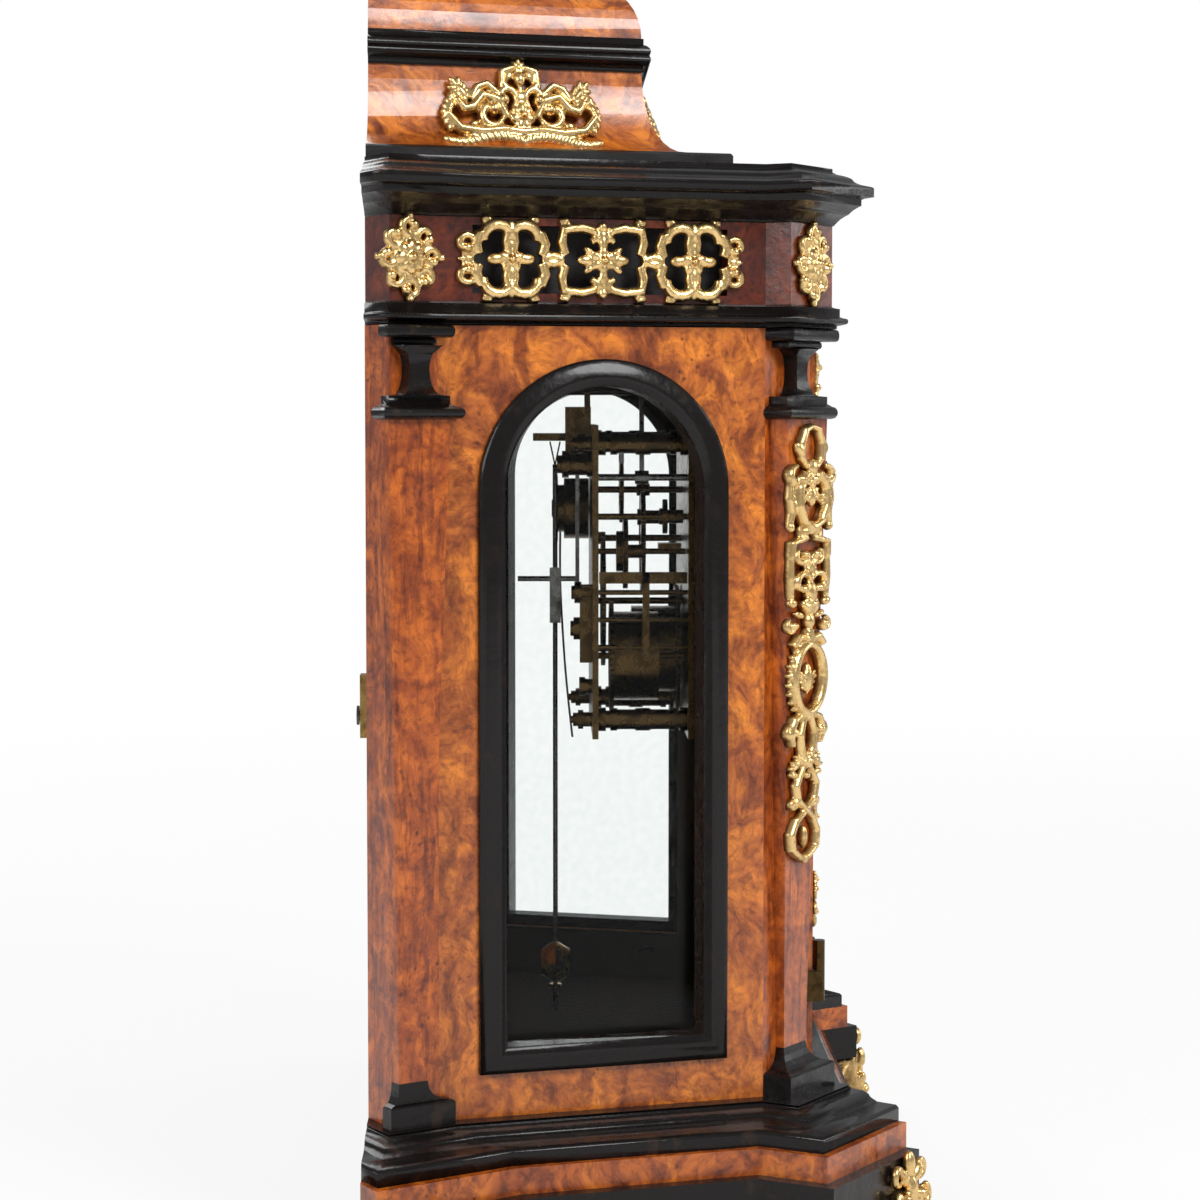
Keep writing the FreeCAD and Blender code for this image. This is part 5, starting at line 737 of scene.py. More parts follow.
def add_piece(name, mesh, finish, body, slot, *stands_for):
    """Puts a finished mesh into the scene as a piece that rides on a body."""
    mesh.materials.clear()
    mesh.materials.append(finish)
    piece = placed(name, mesh)
    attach(piece, body)
    if stands_for:
        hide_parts(*stands_for)
    print(name, len(mesh.polygons), "faces")
    return piece


# %% [markdown]
# The pierced fret of the frieze links three cartouches: two round ones and a squarer one between them.
# Each is framed by C-scrolls and holds a flower, and leafy ends close the row.
# %% Frieze frets
FRIEZE_MID_Z = 0.4075


def fret_half(wax):
    for side in (-1, 1):
        wax.curl(45.5, side * 7.5, 8.6, 205 * side, -0.58 * side, 5.6, grow=0.55, knob=False)
        wax.curl(32.5, side * 7.5, 8.6, -25 * side, 0.58 * side, 5.6, grow=0.55, knob=False)
        wax.stroke([(26, side * 1.5), (24.6, side * 6), (26.5, side * 11)], 5.2, 0.8)
        wax.stroke([(52.4, side * 2), (53.6, side * 6), (51.5, side * 11)], 5.2, 0.8)
        wax.stroke([(33, side * 13), (30, side * 16.4), (27, side * 16)], 3.2, 0.5)
        wax.stroke([(45, side * 13), (48, side * 16.4), (51, side * 16)], 3.2, 0.5)
        wax.curl(57.5, side * 6.2, 4.2, 190 * side, -0.8 * side, 3.6, grow=0.45)
        wax.stroke([(16, side * 2), (17.4, side * 7), (16.6, side * 12.4), (9, side * 13.4),
                    (3.4, side * 12)], 4.8, 0.75)
        wax.stroke([(3.4, side * 12), (2.4, side * 9), (5, side * 7.6)], 3.6, 0.7)
        wax.stroke([(13, side * 12.5), (15.5, side * 16.2), (18.4, side * 15.4)], 3.2, 0.5)
        wax.lobe(39, side * 14, 4.6, 3.4, 90, 1.8, 1.6)
        wax.lobe(39, side * 5.6, 6.8, 4.2, 90, 2.2, 1.6)
    wax.stroke([(17, 0), (21.5, 1.6), (26, 0)], 4.6, 0.9)
    wax.stroke([(17, 0), (21.5, -1.6), (26, 0)], 4.6, 0.9)
    wax.leaf(54.5, 0, 5.0, 0, 3.4, 2)
    wax.lobe(32.4, 0, 7.4, 5, 0, 2.2, 1.6)
    wax.lobe(45.6, 0, 7.4, 5, 0, 2.2, 1.6)
    wax.flower(39, 0, 5.6, 5, 2.0)
    wax.lobe(7.5, 0, 7.6, 4.8, 0, 2.2, 1.6)
    wax.lobe(6.0, 3.6, 5.6, 3, 38, 1.8, 1.6)
    wax.lobe(6.0, -3.6, 5.6, 3, -38, 1.8, 1.6)


fret_wax = Casting(0.55)
fret_wax.mirrored(fret_half)
fret_wax.flower(0, 0, 5.8, 6, 2.0)
for side in (-1, 1):
    fret_wax.lobe(0, side * 7, 8, 4.4, 90, 2.2, 1.6)
    fret_wax.lobe(0, side * 13.6, 5, 4, 90, 2.0, 1.6)
    fret_wax.lobe(0, side * 10.4, 3, 5.6, 90, 1.8, 1.6)
fret_skin = fret_wax.cast("fret")
fret_point = window_mid - outward(WALL_ANGLE) * 3 * MM
fret_right = on_face(fret_point, WALL_ANGLE, FRIEZE_MID_Z) @ Matrix.Diagonal((0.99, 0.98, 1.0, 1))
fret_front = on_face(Vector((0, -57 * MM + DEPTH_SHIFT, 0)), 90, FRIEZE_MID_Z)
add_piece("gilt_frets", carried(fret_skin, both_sides(fret_right) + [(fret_front, False)]),
          gilt_cast, "case", "gilt", "frieze_frets")

# %% [markdown]
# A rosette is pinned on each corner block of the frieze: a flower inside a wreath of eight small
# scrolls, with a bead between each pair.
# %% Corner rosettes


def rosette_shape():
    wax = Casting(0.5)
    wax.flower(0, 0, 6.2, 8, 2.0)
    for turn in range(8):
        angle = 45 * turn
        along_x, along_y = polar(1, angle)
        stretch = 1.0 if turn % 2 else 1.1
        wax.curl(9.2 * along_x, 10.4 * along_y * stretch, 4.0, angle + 150, 0.8, 3.2, grow=0.4)
        wax.leaf(5.5 * along_x, 5.5 * along_y, 5.2, angle + 22, 2.6, 2)
        if turn % 2 == 0:
            wax.bead(13.3 * along_x, 15.0 * along_y, 1.5)
    for turn in range(24):
        wax.bead(*polar(7.6, 15 * turn), 0.8)
    return wax.cast("rosette")


rosette_skin = rosette_shape()
rear_face_mid = rear_start + forward(REAR_ANGLE) * 11.1 * MM - outward(REAR_ANGLE) * 3.3 * MM
front_face_mid = facet_end + forward(FRONT_ANGLE) * 19.5 * MM - outward(FRONT_ANGLE) * 2.9 * MM
ROSETTE_SIZE = 1.1
rosette_places = both_sides(*(
    on_face(point, angle, FRIEZE_MID_Z) @ Matrix.Diagonal((ROSETTE_SIZE, ROSETTE_SIZE, 1, 1))
    for point, angle in ((rear_face_mid, REAR_ANGLE), (front_face_mid, FRONT_ANGLE))))
add_piece("gilt_rosettes", carried(rosette_skin, rosette_places), gilt_cast, "case", "gilt",
          "corner_rosettes")

# %% [markdown]
# A long mount runs down each front pilaster. From the top: a leafy crown over a heart of scrolls, a
# palmette between square scrolls, a beaded oval with a leaf, a shell with berries, and two crossing
# stems that end in a drop. It narrows downwards with the pilaster.
# %% Pilaster mounts


def mount_half(wax):
    wax.stroke([(0, 1.5), (4, 0), (6.4, -6), (6.0, -13), (3, -17)], 3.8, 0.7)
    wax.lobe(7.6, -9, 8, 4, 70, 1.8, 1.3)
    wax.curl(9.4, -21, 4.8, 100, -0.7, 4.0, grow=0.45)
    wax.stroke([(4, -19), (8.4, -26), (8.8, -34), (5.5, -41), (0.5, -44)], 4.4, 0.75, 1.8)
    wax.stroke([(12.4, -24), (12.8, -31), (11.4, -37), (12.4, -42)], 3.4, 0.6)
    wax.lobe(12.2, -43.5, 5, 3.4, 80, 1.8, 1.2)
    wax.leaf(1.6, -26, 7, -60, 2.8, 2, 1.6)
    wax.curl(3.8, -46, 3.4, 60, -0.8, 2.8)
    wax.stroke([(2, -48.5), (7, -49.5), (11, -50.5), (11.4, -57)], 3.8, 0.8)
    wax.stroke([(11.4, -57), (11.6, -66), (11, -75)], 3.2, 0.7)
    wax.curl(4.6, -57, 3.8, 60, -0.8, 3.2, grow=0.4)
    wax.lobe(10.6, -77.5, 5.2, 4.4, 30, 1.9, 1.4)
    wax.curl(5.4, -69, 5.4, 170, -0.75, 3.4, 1.8, grow=0.4)
    wax.lobe(3.0, -80, 8, 3.2, 60, 2.0, 1.8)
    wax.lobe(6.4, -83, 6, 3.2, 25, 1.8, 1.6)
    wax.curl(10.2, -88, 3.6, 70, -0.8, 3.0)
    wax.stroke([(1, -94), (6, -93), (9.6, -97)], 4.4, 0.7)
    ring = [(9.2 * math.cos(math.radians(a)), -112 + 15.4 * math.sin(math.radians(a)))
            for a in range(-90, 91, 15)]
    wax.stroke(ring, 4.2, 0.95, 1.6)
    for bead in range(12):
        angle = math.radians(-86 + 172 * (bead + 0.5) / 12)
        wax.bead(11.6 * math.cos(angle), -112 + 17.6 * math.sin(angle), 1.1, 1.0)
    wax.leaf(1.0, -117, 8, 68, 2.8, 3, 1.4)
    wax.stroke([(2, -128), (7.6, -130), (10.4, -136), (8.4, -142)], 4.2, 0.6)
    wax.curl(9.2, -136, 3.8, 90, -0.8, 3.2)
    wax.stroke([(2, -129), (4.4, -137), (3.4, -144), (1, -148)], 3.4, 0.7, 1.6)
    for ray in range(4):
        wax.lobe(3.2 + 1.5 * ray, -146.5 - 1.7 * ray, 6.2, 2.4, 64 - 24 * ray, 1.8, 1.5)
    wax.bead(7.6, -155, 1.7)
    wax.bead(5.2, -158.5, 1.6)
    wax.stroke([(2, -152), (6.4, -160), (5, -167), (0, -171.5), (-5, -176)], 3.4, 0.7, 1.6)
    wax.curl(6.6, -168, 2.9, 200, 0.8, 2.6)
    wax.stroke([(4.6, -175), (8, -182), (7.4, -189), (2.6, -193), (0, -193.5)], 3.8, 0.75)


mount_wax = Casting(0.55)
mount_wax.mirrored(mount_half)
mount_wax.lobe(0, -17, 6.4, 8.4, 0, 2.2, 1.6)
mount_wax.flower(0, -22, 4.4, 6, 2.0)
mount_wax.lobe(0, -30, 10, 3.6, 90, 2.0, 1.6)
mount_wax.lobe(0, -44, 7, 5, 90, 2.0, 1.8)
mount_wax.leaf(0, -64, 6, 90, 4.4, 2, 1.8)
mount_wax.lobe(0, -73, 11, 6.6, 90, 2.6, 1.8)
mount_wax.flower(0, -78, 4.0, 6, 2.6)
mount_wax.lobe(0, -86, 8, 5.4, 90, 2.2, 1.6)
mount_wax.stroke([(0, -90), (0.1, -96)], 5, 0.9)
mount_wax.lobe(0, -112, 15, 4.2, 90, 2.0, 1.4)
mount_wax.lobe(0, -129, 6, 5, 90, 2.0, 1.6)
mount_wax.flower(0, -149, 4.2, 7, 2.2)
mount_wax.bead(0, -156, 1.9)
mount_wax.lobe(0, -184, 11, 3.0, 90, 1.8, 1.2)
mount_wax.lobe(0, -194, 5, 4.2, 90, 2.0, 1.4)
mount_skin = mount_wax.cast("pilaster_mount")
MOUNT_TOP_Z = 0.3395
PILASTER_TAPER = 4.8
PILASTER_HEIGHT = 262.7
mount_lean = math.atan2(PILASTER_TAPER, PILASTER_HEIGHT)
mount_point = front_corner + forward(FRONT_ANGLE) * 21 * MM + outward(FRONT_ANGLE) * 8.5 * MM
mount_matrix = (on_face(mount_point, FRONT_ANGLE, MOUNT_TOP_Z) @ Matrix.Rotation(mount_lean, 4, "X")
                @ Matrix.Diagonal((1.38, 0.925, 1.3, 1)))
add_piece("gilt_pilaster_mounts", carried(mount_skin, both_sides(mount_matrix)), gilt_cast, "case", "gilt",
          "pilaster_mounts")

# %% [markdown]
# On each face of the bell sits a low cartouche: a gadrooned rim below, leafy scrolls rising to both
# sides and a pierced palmette crowned by small leaves.
# %% Bell mounts


def bell_half(wax):
    for rib in range(12):
        wax.lobe(2.7 * rib + 1.2, -12.4 + 1.4 * math.sin(rib * 0.5), 6.6, 3.5, 62 - 3 * rib, 2.0, 1.3)
    wax.stroke([(0, -9.2), (8, -8.4), (17, -9.4), (26, -8.4), (31, -3), (29, 1)], 4.4, 0.8)
    for bump in range(7):
        wax.lobe(29.5 + 2.2 * math.sin(bump * 0.55), -8 + 1.9 * bump, 4.6, 3.0, 20 * bump - 40, 1.8, 1.0)
    wax.curl(13, -2.5, 5.2, 200, 0.8, 4.0, grow=0.4)
    wax.stroke([(6, -4), (10, 3), (16, 4.5), (20, 0), (24, -1), (27, 3)], 4.6, 0.75)
    wax.stroke([(9, 5), (14, 9), (18, 7.6), (21, 3)], 3.8, 0.7)
    wax.leaf(22, 3, 9, 48, 4.2, 3)
    wax.curl(6.0, 4.0, 4.6, 240, -0.8, 3.8, grow=0.4)
    wax.stroke([(1.5, 5), (7.4, 9), (7.0, 14), (2, 15.5)], 3.8, 0.75)
    wax.leaf(4.2, 11, 4.4, 55, 3.0, 2)
    wax.lobe(9, -6.8, 5, 2.8, 20, 1.6, 1.0)
    wax.lobe(20, -6.4, 5, 2.8, -10, 1.6, 1.0)


bell_wax = Casting(0.5)
bell_wax.mirrored(bell_half)
bell_wax.flower(0, -3.5, 5.4, 7)
bell_wax.leaf(0, 2, 5, 90, 4.0, 3)
bell_wax.lobe(0, 11, 6, 5, 90, 2.2, 1.4)
bell_wax.leaf(0, 14, 4, 90, 3.4, 2)
bell_skin = bell_wax.cast("bell_mount")
BELL_TILT = math.atan2(9, 34)
bell_sink = 18 * 0.72
bell_side_point = (window_mid - outward(WALL_ANGLE) * (26.5 + bell_sink) * MM
                   - forward(WALL_ANGLE) * 18 * 1.3 * MM)
bell_front_point = Vector((0, (-11 + bell_sink) * MM + DEPTH_SHIFT, 0))
BELL_MID_Z = 0.4705
bell_turn = Matrix.Rotation(-BELL_TILT, 4, "X") @ Matrix.Diagonal((1.02, 1.12, 1.3, 1))
bell_right = on_face(bell_side_point, WALL_ANGLE, BELL_MID_Z) @ bell_turn
bell_front = on_face(bell_front_point, 90, BELL_MID_Z) @ bell_turn
add_piece("gilt_bell_mounts", carried(bell_skin, both_sides(bell_right) + [(bell_front, False)]), gilt_cast,
          "case", "gilt", "bell_mounts")

# %% [markdown]
# The clock stands on four cast scroll feet. Each is a broad volute whose toe rolls forward, with an
# acanthus leaf that laps up the plinth. The feet's places are read from the frame's own feet, so that
# the cast ones stand on exactly the same soles.
# %% Feet
FOOT_REACH = 14 * MM


def foot_place(is_front, angle):
    """The matrix of a foot on the clock's right, from the frame's feet."""
    along, out = forward(angle), outward(angle)
    spots = [vertex.co for vertex in nodes["feet"].data.vertices
             if vertex.co.x > 0 and (vertex.co.y < 0) == is_front]
    runs = [spot.dot(along) for spot in spots]
    face = max(spot.dot(out) for spot in spots) - FOOT_REACH
    return on_face(along * (min(runs) + max(runs)) / 2 + out * face, angle, 0)


foot_wax = Casting(0.75)
foot_wax.lobe(0, 4.6, 27, 9.2, 0, 4.6, 9.2)
foot_wax.stroke([(0, 5, 8), (0, 8, 3), (0, 14, 1), (0, 20, 0.5), (0, 25, 2)], 27, 0.85, 0, 14, 0.3)
foot_wax.stroke([(0, 20, -1), (0, 12, -6), (0, 5, -13), (0, 3, -21), (0, 4, -27)], 26, 0.85, 0, 14, 0.34)
foot_wax.stroke([(0, 20, -4), (0, 19, -14), (0, 18, -24)], 25, 0.9, 0, 14, 0.28)
foot_wax.mirrored(lambda wax: (
    wax.curl(8.5, 21, 6.0, 60, -0.8, 3.8, 4.5, 0.4),
    wax.curl(9.5, 33, 4.6, 250, 0.8, 3.2, 2.6, 0.4),
    wax.lobe(5.4, 31, 9, 4.6, 65, 2.4, 3),
    wax.lobe(7.8, 13, 11, 5, 80, 2.4, 7),
    wax.lobe(11.6, 10, 8, 4, 70, 2.2, 6.4)))
foot_wax.lobe(0, 24, 16, 8, 90, 3.2, 3.6)
foot_wax.lobe(0, 35.5, 13, 6.4, 90, 2.8, 2.6)
foot_wax.lobe(0, 12, 15, 6, 90, 3.0, 7.6)
foot_skin = foot_wax.cast("foot")
for vertex in foot_skin.vertices:
    vertex.co.y = max(vertex.co.y, 0)
    vertex.co.z = min(vertex.co.z, FOOT_REACH)
foot_places = both_sides(foot_place(True, FRONT_ANGLE), foot_place(False, REAR_ANGLE))
add_piece("gilt_feet", carried(foot_skin, foot_places), gilt_cast, "case", "gilt", "feet")

# %% [markdown]
# The door carries four kinds of casting: a cartouche on its lower rail, a spandrel in each upper
# corner, a slim strip down each stile and the escutcheon of the lock. All of them are pinned to the
# door and turn with it.
# %% Door mounts
door_face_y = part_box("front_door")[0][1]
dial_face_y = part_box("dial_plate")[0][1]


def on_front(x, y, height):
    """Carries a drawing onto the clock's front, x in millimetres from its middle."""
    return on_face(Vector((x * MM, y, 0)), 90, height)


apron_matrix = on_front(0, door_face_y, 0.112) @ Matrix.Diagonal((1.35, 0.95, 0.8, 1))
corner_wax = Casting(0.5)
corner_wax.flower(0, 0, 4.6, 6, 1.4)
corner_wax.curl(-6, 2.5, 4.2, -30, 0.8, 2.8, 1, 0.4)
corner_wax.curl(1.5, -8, 4.2, 60, 0.8, 2.8, 1, 0.4)
corner_wax.leaf(-7, -1, 7, 190, 2.8, 3)
corner_wax.leaf(2, -10, 12, -86, 3.0, 4)
corner_wax.leaf(2, 2, 4, 45, 2.8, 2)
corner_skin = corner_wax.cast("door_corner")
corner_matrix = on_front(83.8, door_face_y, 0.3655)
strip_wax = Casting(0.5)
for step in range(-2, 3):
    strip_wax.flower(0, step * 27, 3.7, 6, 1.2)
for step in range(-4, 5):
    for end in (1, -1):
        strip_wax.lobe(0, step * 13.5 + end * 4.6, 8, 3.4, 90, 1.5, 1)
    for side in (-1, 1):
        for end in (1, -1):
            strip_wax.lobe(side * 2.4, step * 13.5 + end * 2, 5.4, 2, 90 - end * side * 30, 1.2, 0.9)
strip_skin = strip_wax.cast("door_strip")
strip_matrix = on_front(89.4, door_face_y, 0.228)
lock_wax = Casting(0.45)
lock_wax.flower(0, 8.6, 3.6, 6, 1.2)
lock_wax.stroke([(0, -8.5), (0.1, 8)], 4.4, 0.8, 0.6, 10, 0.5)
for side in (-1, 1):
    lock_wax.curl(side * 3.4, 3.6, 3.2, 90 - side * 60, -side * 0.8, 2.2, 0.8, 0.4)
    lock_wax.curl(side * 3.4, -3.6, 3.2, side * 60 - 90, side * 0.8, 2.2, 0.8, 0.4)
lock_wax.lobe(0, -9.2, 6, 4, 90, 1.6, 0.8)
lock_skin = lock_wax.cast("escutcheon")
lock_matrix = on_front(-90.7, door_face_y, 0.1385)
door_sets = [carried(bell_skin, [(apron_matrix, False)]), carried(corner_skin, both_sides(corner_matrix)),
             carried(strip_skin, both_sides(strip_matrix)), carried(lock_skin, [(lock_matrix, False)])]
add_piece("gilt_door_mounts", joined("door_mounts", door_sets), gilt_cast, "front_door_body", "gilt",
          "front_door_mounts")

# %% [markdown]
# The dial's corners hold gilt spandrels and its arch holds a round boss. The silvered ring between them
# has engraved numerals filled with black wax and a track of sixty minutes. The numerals are built from
# strokes laid on the ring's face, which is how an engraver cuts them.
# %% Spandrels and boss
ring_low, ring_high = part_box("chapter_ring")
ring_radius = (ring_high[2] - ring_low[2]) / 2
boss_wax = Casting(0.4)
for turn in range(36):
    boss_wax.bead(*polar(13.6, 10 * turn), 1.3, 0.6)
boss_wax.stroke([polar(11.4, a) for a in range(0, 366, 12)], 2.6, 1, 0.6, 8, 0.6)
boss_wax.flower(0, 0, 10.4, 10, 0.4)
boss_skin = boss_wax.cast("boss")
boss_matrix = on_front(0, dial_face_y, 0.3445) @ Matrix.Diagonal((1, 1, 0.55, 1))
SPANDREL_FLATTEN = 0.6
spandrel_wax = Casting(0.4)
spandrel_wax.flower(0, 0, 4.4, 6, 0.8)
spandrel_wax.leaf(1, 3.5, 7, 92, 2.6, 3, 0.8)
spandrel_wax.leaf(-3.5, -1, 7, 178, 2.6, 3, 0.8)
spandrel_wax.leaf(2, -2, 4, -45, 2.4, 2, 0.8)
spandrel_wax.curl(4.2, 4.2, 3.2, 200, 0.8, 2.0, 0.8, 0.4)
spandrel_wax.curl(-4.2, -4.2, 3.2, 80, -0.8, 2.0, 0.8, 0.4)
spandrel_skin = spandrel_wax.cast("spandrel")
flat = Matrix.Diagonal((1, 1, SPANDREL_FLATTEN, 1))
low_spandrel = on_front(62, dial_face_y, 0.2035) @ flat
dial_sets = [carried(boss_skin, [(boss_matrix, False)]), carried(spandrel_skin, both_sides(low_spandrel))]
upper = spandrel_skin.copy()
upper.transform(Matrix.Diagonal((0.9, -0.9, SPANDREL_FLATTEN, 1)))
upper.flip_normals()
dial_sets.append(carried(upper, both_sides(on_front(54, dial_face_y, 0.3225))))
add_piece("gilt_dial_castings", joined("dial_castings", dial_sets), gilt_cast, "case", "gilt",
          "dial_castings")

# %% [markdown]
# Numerals face outwards from the centre, as on old rings. A stroke is a thin bar between two points of
# the numeral's own small frame, and I, V and X are all that is needed.
# %% Numerals
black_wax = plain_finish(
    "black_wax", lambda tree, vector: noise(tree, vector, 1200, 4),
    [(0.35, (0.006, 0.006, 0.007)), (0.7, (0.05, 0.045, 0.04))], (0.3, 0.35), 0.00003)

NUMERALS = ["XII", "I", "II", "III", "IIII", "V", "VI", "VII", "VIII", "IX", "X", "XI"]
INK = 0.12 * MM
CIRCLE_WIDTH = 0.22 * MM
CIRCLE_SHARES = (0.905, 0.945, 0.645, 0.62)
numeral_build = bmesh.new()


def ink_bar(matrix, start, end, width):
    """A thin bar on the dial from start to end, in the matrix's frame."""
    begin, finish = Vector((*start, 0)), Vector((*end, 0))
    run = finish - begin
    turn = Matrix.Rotation(math.atan2(run.y, run.x), 4, "Z")
    shape = Matrix.Translation((begin + finish) / 2) @ turn @ Matrix.Diagonal((run.length, width, INK * 2, 1))
    bmesh.ops.create_cube(numeral_build, size=1, matrix=matrix @ shape)


def numeral(matrix, text, height):
    """Draws a Roman numeral upright in the matrix's frame."""
    widths = {"I": 0.30, "V": 0.72, "X": 0.72}
    thick, thin = height * 0.13, height * 0.055
    left = -sum(widths[letter] for letter in text) / 2 * height
    for letter in text:
        wide = widths[letter] * height
        low, high = -height / 2, height / 2
        near, far = left + wide * 0.14, left + wide * 0.86
        middle = left + wide / 2
        if letter == "I":
            ink_bar(matrix, (middle, low), (middle, high), thick)
            feet = [(middle, low), (middle, high)]
        elif letter == "V":
            ink_bar(matrix, (near, high), (middle, low), thick)
            ink_bar(matrix, (far, high), (middle, low), thin)
            feet = [(near, high), (far, high)]
        else:
            ink_bar(matrix, (near, high), (far, low), thick)
            ink_bar(matrix, (far, high), (near, low), thin)
            feet = [(near, high), (far, high), (near, low), (far, low)]
        for foot in feet:
            ink_bar(matrix, (foot[0] - height * 0.11, foot[1]), (foot[0] + height * 0.11, foot[1]), thin)
        left += wide


ring_face = on_front(0, ring_low[1], (ring_low[2] + ring_high[2]) / 2)
for hour, text in enumerate(NUMERALS):
    spin = Matrix.Rotation(math.radians(-30 * hour), 4, "Z")
    numeral(ring_face @ spin @ Matrix.Translation((0, ring_radius * 0.775, 0)), text, ring_radius * 0.185)
for circle in CIRCLE_SHARES:
    reach = ring_radius * circle
    for step in range(120):
        ink_bar(ring_face, polar(reach, 3 * step), polar(reach, 3 * step + 3.1), CIRCLE_WIDTH)
add_piece("dial_numerals", mesh_from(numeral_build, "numerals"), black_wax, "case", "black")

# %% [markdown]
# Sixty minute marks repeat round the ring, so a node tree sets them: a circle of points, a small bar on
# each, and every bar turned to point at the centre.
# %% Minute marks
MARK_WIDTH = 0.3 * MM
marks = bpy.data.node_groups.new("minute_marks", "GeometryNodeTree")
marks.interface.new_socket(name="Radius", in_out="INPUT", socket_type="NodeSocketFloat")
marks.interface.new_socket(name="Length", in_out="INPUT", socket_type="NodeSocketFloat")
marks.interface.new_socket(name="Geometry", in_out="OUTPUT", socket_type="NodeSocketGeometry")
marks_in, marks_out = marks.nodes.new("NodeGroupInput"), marks.nodes.new("NodeGroupOutput")
dots = added(marks, "GeometryNodeMeshCircle", {"Vertices": 60, "Radius": marks_in.outputs["Radius"]})
bar_size = added(marks, "ShaderNodeCombineXYZ",
                 {"X": marks_in.outputs["Length"], "Y": MARK_WIDTH, "Z": 2 * INK})
bar = added(marks, "GeometryNodeMeshCube", {"Size": bar_size.outputs[0]})
spot = marks.nodes.new("GeometryNodeInputPosition")
facing = added(marks, "FunctionNodeAlignRotationToVector", {"Vector": spot.outputs[0]}, axis="X")
spread = added(marks, "GeometryNodeInstanceOnPoints", {
    "Points": dots.outputs["Mesh"], "Instance": bar.outputs["Mesh"], "Rotation": facing.outputs["Rotation"]})
real = added(marks, "GeometryNodeRealizeInstances", {"Geometry": spread.outputs["Instances"]})
set_wax = added(marks, "GeometryNodeSetMaterial",
                {"Geometry": real.outputs["Geometry"], "Material": black_wax})
feed(marks, marks_out, {"Geometry": set_wax.outputs["Geometry"]})


def baked(name, tree, **values):
    """The mesh that a node tree makes with named input values."""
    holder = placed(name + "_holder", bpy.data.meshes.new(name + "_seed"))
    modifier = holder.modifiers.new(name, "NODES")
    modifier.node_group = tree
    for item in tree.interface.items_tree:
        if item.in_out == "INPUT" and item.name in values:
            modifier[item.identifier] = values[item.name]
    return evaluated(holder, name)


mark_mesh = baked("minute_marks", marks, Radius=ring_radius * 0.925, Length=ring_radius * 0.04)
mark_mesh.transform(ring_face)
add_piece("dial_minutes", mark_mesh, black_wax, "case", "black")

# %% [markdown]
# The bell is crowned by a gilt finial: a gadrooned vase with a flame. It is turned as a profile whose
# radius waves round the axis, more on the bulb than on the necks, and the waves twist in the flame.
# %% Finial
finial_low, finial_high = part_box("finial")
FINIAL_PROFILE = [  # rise, reach, wave, twist
    (0.0, 0.92, 0, 0), (0.03, 0.95, 0, 0), (0.05, 0.8, 0, 0), (0.08, 0.45, 0, 0), (0.12, 0.33, 0, 0),
    (0.15, 0.46, 0, 0), (0.17, 0.34, 0, 0), (0.21, 0.55, 0.05, 0), (0.27, 0.84, 0.1, 0),
    (0.33, 0.96, 0.12, 0), (0.39, 0.99, 0.08, 0), (0.42, 0.97, 0, 0), (0.44, 0.99, 0, 0),
    (0.46, 0.86, 0, 0), (0.50, 0.55, 0, 0), (0.53, 0.36, 0, 0), (0.56, 0.42, 0, 0), (0.58, 0.52, 0, 0),
    (0.60, 0.38, 0, 0), (0.64, 0.44, 0.1, 0.1), (0.70, 0.56, 0.16, 0.3), (0.76, 0.58, 0.18, 0.6),
    (0.82, 0.50, 0.18, 0.9), (0.88, 0.36, 0.18, 1.2), (0.94, 0.20, 0.15, 1.5), (0.98, 0.09, 0.1, 1.7),
    (1.0, 0.02, 0, 1.8)]
FINIAL_SIDES = 72
FINIAL_FLUTES = 9
finial_radius = (finial_high[0] - finial_low[0]) / 2
finial_height = finial_high[2] - finial_low[2]
finial_mid_y = (finial_high[1] + finial_low[1]) / 2
finial_build = bmesh.new()
relief_layer = finial_build.verts.layers.float.new("relief")
finial_rings = []
for rise, reach, wave, twist in FINIAL_PROFILE:
    ring = []
    for step in range(FINIAL_SIDES):
        angle = 2 * math.pi * step / FINIAL_SIDES
        crest = 0.5 + 0.5 * math.cos(FINIAL_FLUTES * (angle + twist))
        radius = finial_radius * reach * (1 - wave * (1 - crest))
        vertex = finial_build.verts.new((radius * math.cos(angle), finial_mid_y + radius * math.sin(angle),
                                         finial_low[2] + rise * finial_height))
        # relief: low in the flutes and the narrow necks, which the gilt finish paints darker as shade and
        # grime
        vertex[relief_layer] = 0.25 + 0.75 * (crest if wave else min(1, reach + 0.2))
        ring.append(vertex)
    finial_rings.append(ring)
for lower, higher in zip(finial_rings, finial_rings[1:]):
    for step in range(FINIAL_SIDES):
        after = (step + 1) % FINIAL_SIDES
        finial_build.faces.new((lower[step], lower[after], higher[after], higher[step]))
finial_build.faces.new(list(reversed(finial_rings[0])))
finial_build.faces.new(finial_rings[-1])
finial_mesh = mesh_from(finial_build, "finial_form")
finial_mesh.shade_smooth()
add_piece("gilt_finial", finial_mesh, gilt_cast, "case", "gilt", "finial")

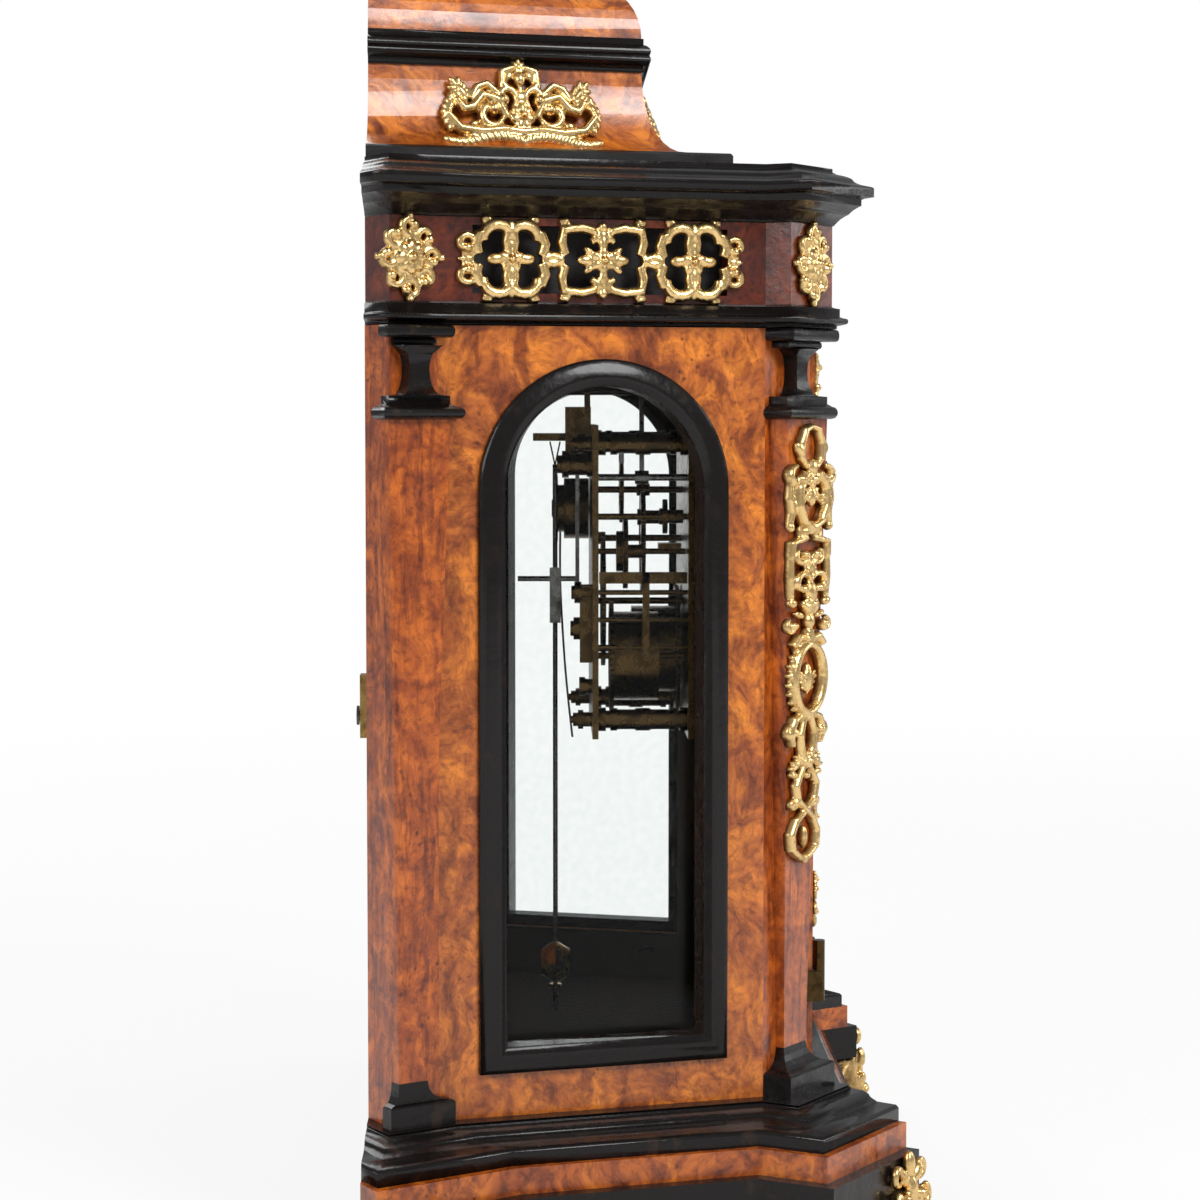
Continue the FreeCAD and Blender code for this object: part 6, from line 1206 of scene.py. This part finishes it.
# %% [markdown]
# The frame's mouldings and the bell are built from flat strips, and a polished surface shows every
# strip as a band. Here each is copied into a piece of its own whose normals run smoothly over the soft
# turns and stay sharp at the true edges, so that the light flows along them as it does on scraped wood.
# %% Smooth mouldings and bell
SOFT_TURN = math.radians(33)
SOFTENED = {"bell_lower": "walnut", "bell_upper": "walnut"}
SOFTENED |= dict.fromkeys(["bell_moulding", "cornice", "architrave_moulding", "base_moulding",
                           "pilaster_capitals", "side_window_frames", "front_door_moulding"], "black")
for name, slot in SOFTENED.items():
    body = "front_door_body" if name == "front_door_moulding" else "case"
    source = nodes[name]
    build = bmesh.new()
    build.from_mesh(source.data)
    build.transform(source.matrix_world)
    bmesh.ops.remove_doubles(build, verts=build.verts, dist=1e-6)
    bmesh.ops.recalc_face_normals(build, faces=build.faces)
    soft_mesh = mesh_from(build, "soft_" + name)
    soft_mesh.shade_smooth()
    soft_mesh.set_sharp_from_angle(angle=SOFT_TURN)
    add_piece("soft_" + name, soft_mesh, source.data.materials[0], body, slot, name)

# %% [markdown]
# Between the plates stands the striking train: wheels on their arbors, a fly that slows them, and stout
# baluster pillars. It is at rest while the clock goes, so it rides with the case. Outside the back plate
# sit its cocks and nuts, which make the movement's outline busy against the light.
# %% Striking train and pillars
train_build = bmesh.new()


def spindle(x, z, sections, sides=20):
    """Turned sections along Y at (x, z): each is (start y, end y, radius) in millimetres before the shift."""
    for start, end, radius in sections:
        length = (end - start) * MM
        matrix = (Matrix.Translation((x * MM, (start + end) / 2 * MM + DEPTH_SHIFT, z * MM))
                  @ Matrix.Rotation(math.pi / 2, 4, "X"))
        bmesh.ops.create_cone(train_build, cap_ends=True, segments=sides, radius1=radius * MM,
                              radius2=radius * MM, depth=length, matrix=matrix)


def block(low, high):
    """A box between two corners in millimetres before the shift."""
    low, high = Vector(low) * MM, Vector(high) * MM
    size, middle = high - low, (low + high) / 2 + Vector((0, DEPTH_SHIFT, 0))
    shape = Matrix.Translation(middle) @ Matrix.Diagonal((*size, 1))
    bmesh.ops.create_cube(train_build, size=1, matrix=shape)


def toothed(x, z, start, end, radius, teeth):
    """A static wheel with teeth, on its arbor."""
    spindle(x, z, [(start, end, radius - 1.2)], 48)
    for tooth in range(teeth):
        spin = Matrix.Rotation(2 * math.pi * tooth / teeth, 4, "Y")
        place = Matrix.Translation((x * MM, (start + end) / 2 * MM + DEPTH_SHIFT, z * MM))
        shape = (Matrix.Translation(((radius - 0.8) * MM, 0, 0))
                 @ Matrix.Diagonal((1.6 * MM, (end - start) * MM, 1.0 * MM, 1)))
        bmesh.ops.create_cube(train_build, size=1, matrix=place @ spin @ shape)


BETWEEN_PLATES = (-14.7, 24.2)
for x in (-52, 52):
    for z in (212, 333):
        spindle(x, z, [
            (-14.7, -11.5, 5.2), (-11.5, -9.5, 3.9), (-9.5, -7, 5.0), (-7, 1.5, 4.4), (1.5, 8, 5.0),
            (8, 16, 4.4), (16, 19, 5.0), (19, 21, 3.9), (21, 24.2, 5.2)], 28)
        spindle(x, z, [(30.9, 33.2, 4.2), (33.2, 35.4, 3.0), (35.4, 36.6, 1.6)])
for x, z, low, high, radius, teeth in (
        (-34, 285, 11, 13, 16.5, 56), (-28, 300, 3, 5, 11.5, 42), (-49, 301, -6, -4, 7.5, 30)):
    toothed(x, z, low, high, radius, teeth)
    spindle(x, z, [(*BETWEEN_PLATES, 1.3), (low - 7, low, 3.0), (high, high + 1.5, 3.6)])
spindle(-34, 285, [(13, 16, 9.0)], 32)
block((-54.5, -12, 287), (-43.5, -2, 289.4))
spindle(-30, 323.5, [(26.9, 29, 5.6), (29, 37, 4.9), (37, 40, 6.0), (40, 42.2, 4.0)])
spindle(-38, 267, [(26.9, 31.5, 3.6), (31.5, 34.6, 4.8), (34.6, 36, 3.0)])
block((-41, 26.9, 236), (-34, 32.2, 270))
spindle(-37.5, 251, [(32.2, 35, 5.0), (35, 36.4, 3.4)])
spindle(-46, 226, [(26.9, 30, 3.4), (30, 32.6, 4.2)])
block((-58, -14.5, 272), (-56.4, 24, 277))
block((-58, 2, 240), (-56.4, 5, 277))
for level in (244, 256, 268):
    spindle(-55.4, level, [(*BETWEEN_PLATES, 1.1)])
train_mesh = mesh_from(train_build, "striking_train")
train_mesh.shade_smooth()
train_mesh.set_sharp_from_angle(angle=SOFT_TURN)
add_piece("striking_train", train_mesh, dark_brass, "case", "brass")
